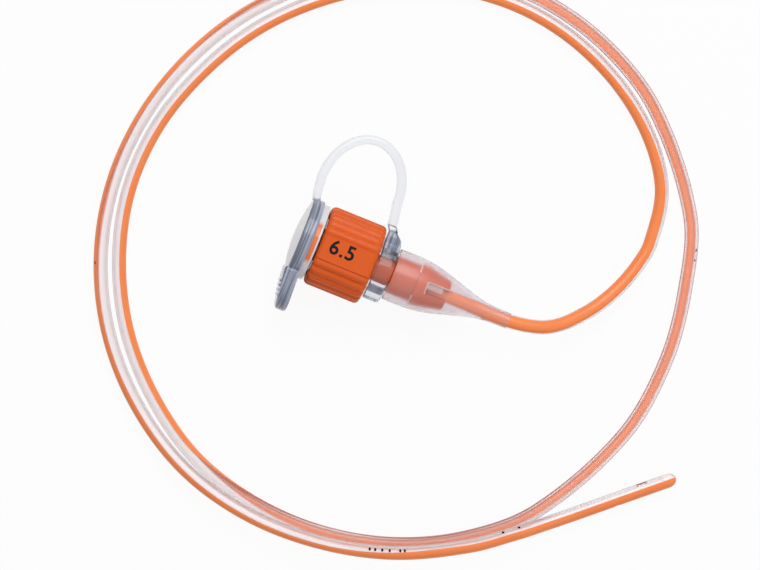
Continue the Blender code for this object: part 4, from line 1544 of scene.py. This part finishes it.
class FEEDINGTUBE_OT_sleeve(bpy.types.Operator):
    """Add the frosted sleeve over the barrel and the tube"""

    bl_idname = "feedingtube.sleeve"
    bl_label = "Add Sleeve"

    def execute(self, context):
        settings = context.scene.feedingtube_sleeve
        bore = context.scene.feedingtube_tube.diameter / 2.0 + SEAT_GAP / 4.0
        end = bore + settings.end_wall
        run = SLEEVE_END - BARREL_FRONT - SLEEVE_STRAIGHT
        outer = [(BARREL_FRONT, settings.radius, 0.12 * MM)]
        for k in range(SLEEVE_STEPS + 1):
            share = k / SLEEVE_STEPS
            ease = 0.5 + 0.5 * math.cos(math.pi * min(share * SLEEVE_TAPER, 1.0))
            radius = end + (settings.radius - end) * ease
            outer.append((BARREL_FRONT + SLEEVE_STRAIGHT + run * share, radius, 0.0))
        inner = [(x, max(radius - settings.wall, bore), 0.0) for x, radius, reach in outer]
        profile = rounded_profile(outer + inner[::-1], closed=True)
        sleeve = added("sleeve_shell", turned("sleeve_shell", profile, closed=True))
        painted(sleeve, settings, frosted_plastic)
        piece(sleeve, "sleeve", "connector", "strain_relief_sleeve")
        return {"FINISHED"}


class FEEDINGTUBE_OT_stage(bpy.types.Operator):
    """Add the pale floor, the soft lamps and the even light"""

    bl_idname = "feedingtube.stage"
    bl_label = "Add Stage"

    def execute(self, context):
        settings = context.scene.feedingtube_stage
        bm = bmesh.new()
        bmesh.ops.create_grid(bm, x_segments=2, y_segments=2, size=FLOOR_SIZE)
        bmesh.ops.translate(bm, verts=bm.verts, vec=(0.0, 0.0, -FLOOR_DROP))
        mesh = bpy.data.meshes.new("floor")
        bm.to_mesh(mesh)
        bm.free()
        floor = painted(added("floor", mesh), settings, pale_floor)
        self.lamp("key_lamp", *KEY_LAMP, settings.key_power)
        fill = self.lamp("fill_lamp", *FILL_LAMP, settings.fill_power)
        fill.visible_glossy = False
        self.sky(context.scene, settings)
        context.scene.view_settings.view_transform = "Standard"
        return {"FINISHED"}

    def lamp(self, name, place, size, power):
        """Large soft lamp that faces the object."""
        data = bpy.data.lights.new(name, "AREA")
        data.shape = "SQUARE"
        data.size = size
        data.energy = power
        lamp = added(name, data)
        lamp.visible_transmission = False
        lamp.location = place
        lamp.rotation_mode = "QUATERNION"
        lamp.rotation_quaternion = (-Vector(place)).to_track_quat("-Z", "Y")
        return lamp

    def sky(self, scene, settings):
        """Even light, with a grey band near the horizon that clear plastic shows at its edges."""
        world = bpy.data.worlds.new("studio")
        scene.world = world
        world.use_nodes = True
        nodes = Nodes(world.node_tree)
        even = world.node_tree.nodes["Background"]
        nodes.feed(even, Color=(1.0, 1.0, 1.0, 1.0), Strength=settings.sky_strength)
        direction = nodes.add("ShaderNodeTexCoord").outputs["Generated"]
        rise = nodes.mapped(nodes.axes(direction)["Z"], 0.10, 0.80, 0.0, 1.0)
        rays = nodes.add("ShaderNodeLightPath").outputs
        seen_through = rays["Is Transmission Ray"]
        tint = nodes.tinted(
            seen_through,
            nodes.tinted(rise, (0.42, 0.44, 0.50), (0.95, 0.96, 1.0)),
            nodes.tinted(rise, (0.56, 0.54, 0.58), (1.0, 1.0, 1.0)),
        )
        seen = nodes.feed(nodes.add("ShaderNodeBackground"), Color=tint, Strength=1.0)
        plain = nodes.filled("ShaderNodeBackground", (1.0, 1.0, 1.0, 1.0))
        mirrored = nodes.maths("MAXIMUM", rays["Is Glossy Ray"], seen_through)
        light = nodes.mixed(mirrored, even.outputs[0], seen.outputs[0])
        light = nodes.mixed(rays["Is Camera Ray"], light, plain)
        nodes.feed(world.node_tree.nodes["World Output"], Surface=light)


class FEEDINGTUBE_PT_panel(bpy.types.Panel):
    """Buttons and settings for the feeding tube"""

    bl_idname = "FEEDINGTUBE_PT_panel"
    bl_label = "Feeding Tube"
    bl_space_type = "VIEW_3D"
    bl_region_type = "UI"
    bl_category = "Feeding Tube"

    def draw(self, context):
        for group in GROUPS:
            settings = getattr(context.scene, "feedingtube_" + group)
            box = self.layout.box()
            box.label(text=group.capitalize())
            for name in settings.__annotations__:
                box.prop(settings, name)
        for step in STEPS:
            self.layout.operator("feedingtube." + step)


GROUPS = {
    "tube": TubeSettings,
    "hub": HubSettings,
    "cap": CapSettings,
    "sleeve": SleeveSettings,
    "stage": StageSettings,
}

STEPS = ("camera", "tube", "marks", "hub", "figures", "ring", "strap", "cap", "sleeve", "stage")

CLASSES = (
    *GROUPS.values(),
    FEEDINGTUBE_OT_camera,
    FEEDINGTUBE_OT_tube,
    FEEDINGTUBE_OT_marks,
    FEEDINGTUBE_OT_hub,
    FEEDINGTUBE_OT_figures,
    FEEDINGTUBE_OT_ring,
    FEEDINGTUBE_OT_strap,
    FEEDINGTUBE_OT_cap,
    FEEDINGTUBE_OT_sleeve,
    FEEDINGTUBE_OT_stage,
    FEEDINGTUBE_PT_panel,
)


def register():
    for cls in CLASSES:
        bpy.utils.register_class(cls)
    for group, kind in GROUPS.items():
        setattr(bpy.types.Scene, "feedingtube_" + group, PointerProperty(type=kind))


def unregister():
    for group in reversed(GROUPS):
        delattr(bpy.types.Scene, "feedingtube_" + group)
    for cls in reversed(CLASSES):
        bpy.utils.unregister_class(cls)


def main():
    """Add every piece in order."""
    register()
    for step in STEPS:
        getattr(bpy.ops.feedingtube, step)()


if __name__ == "__main__":
    main()
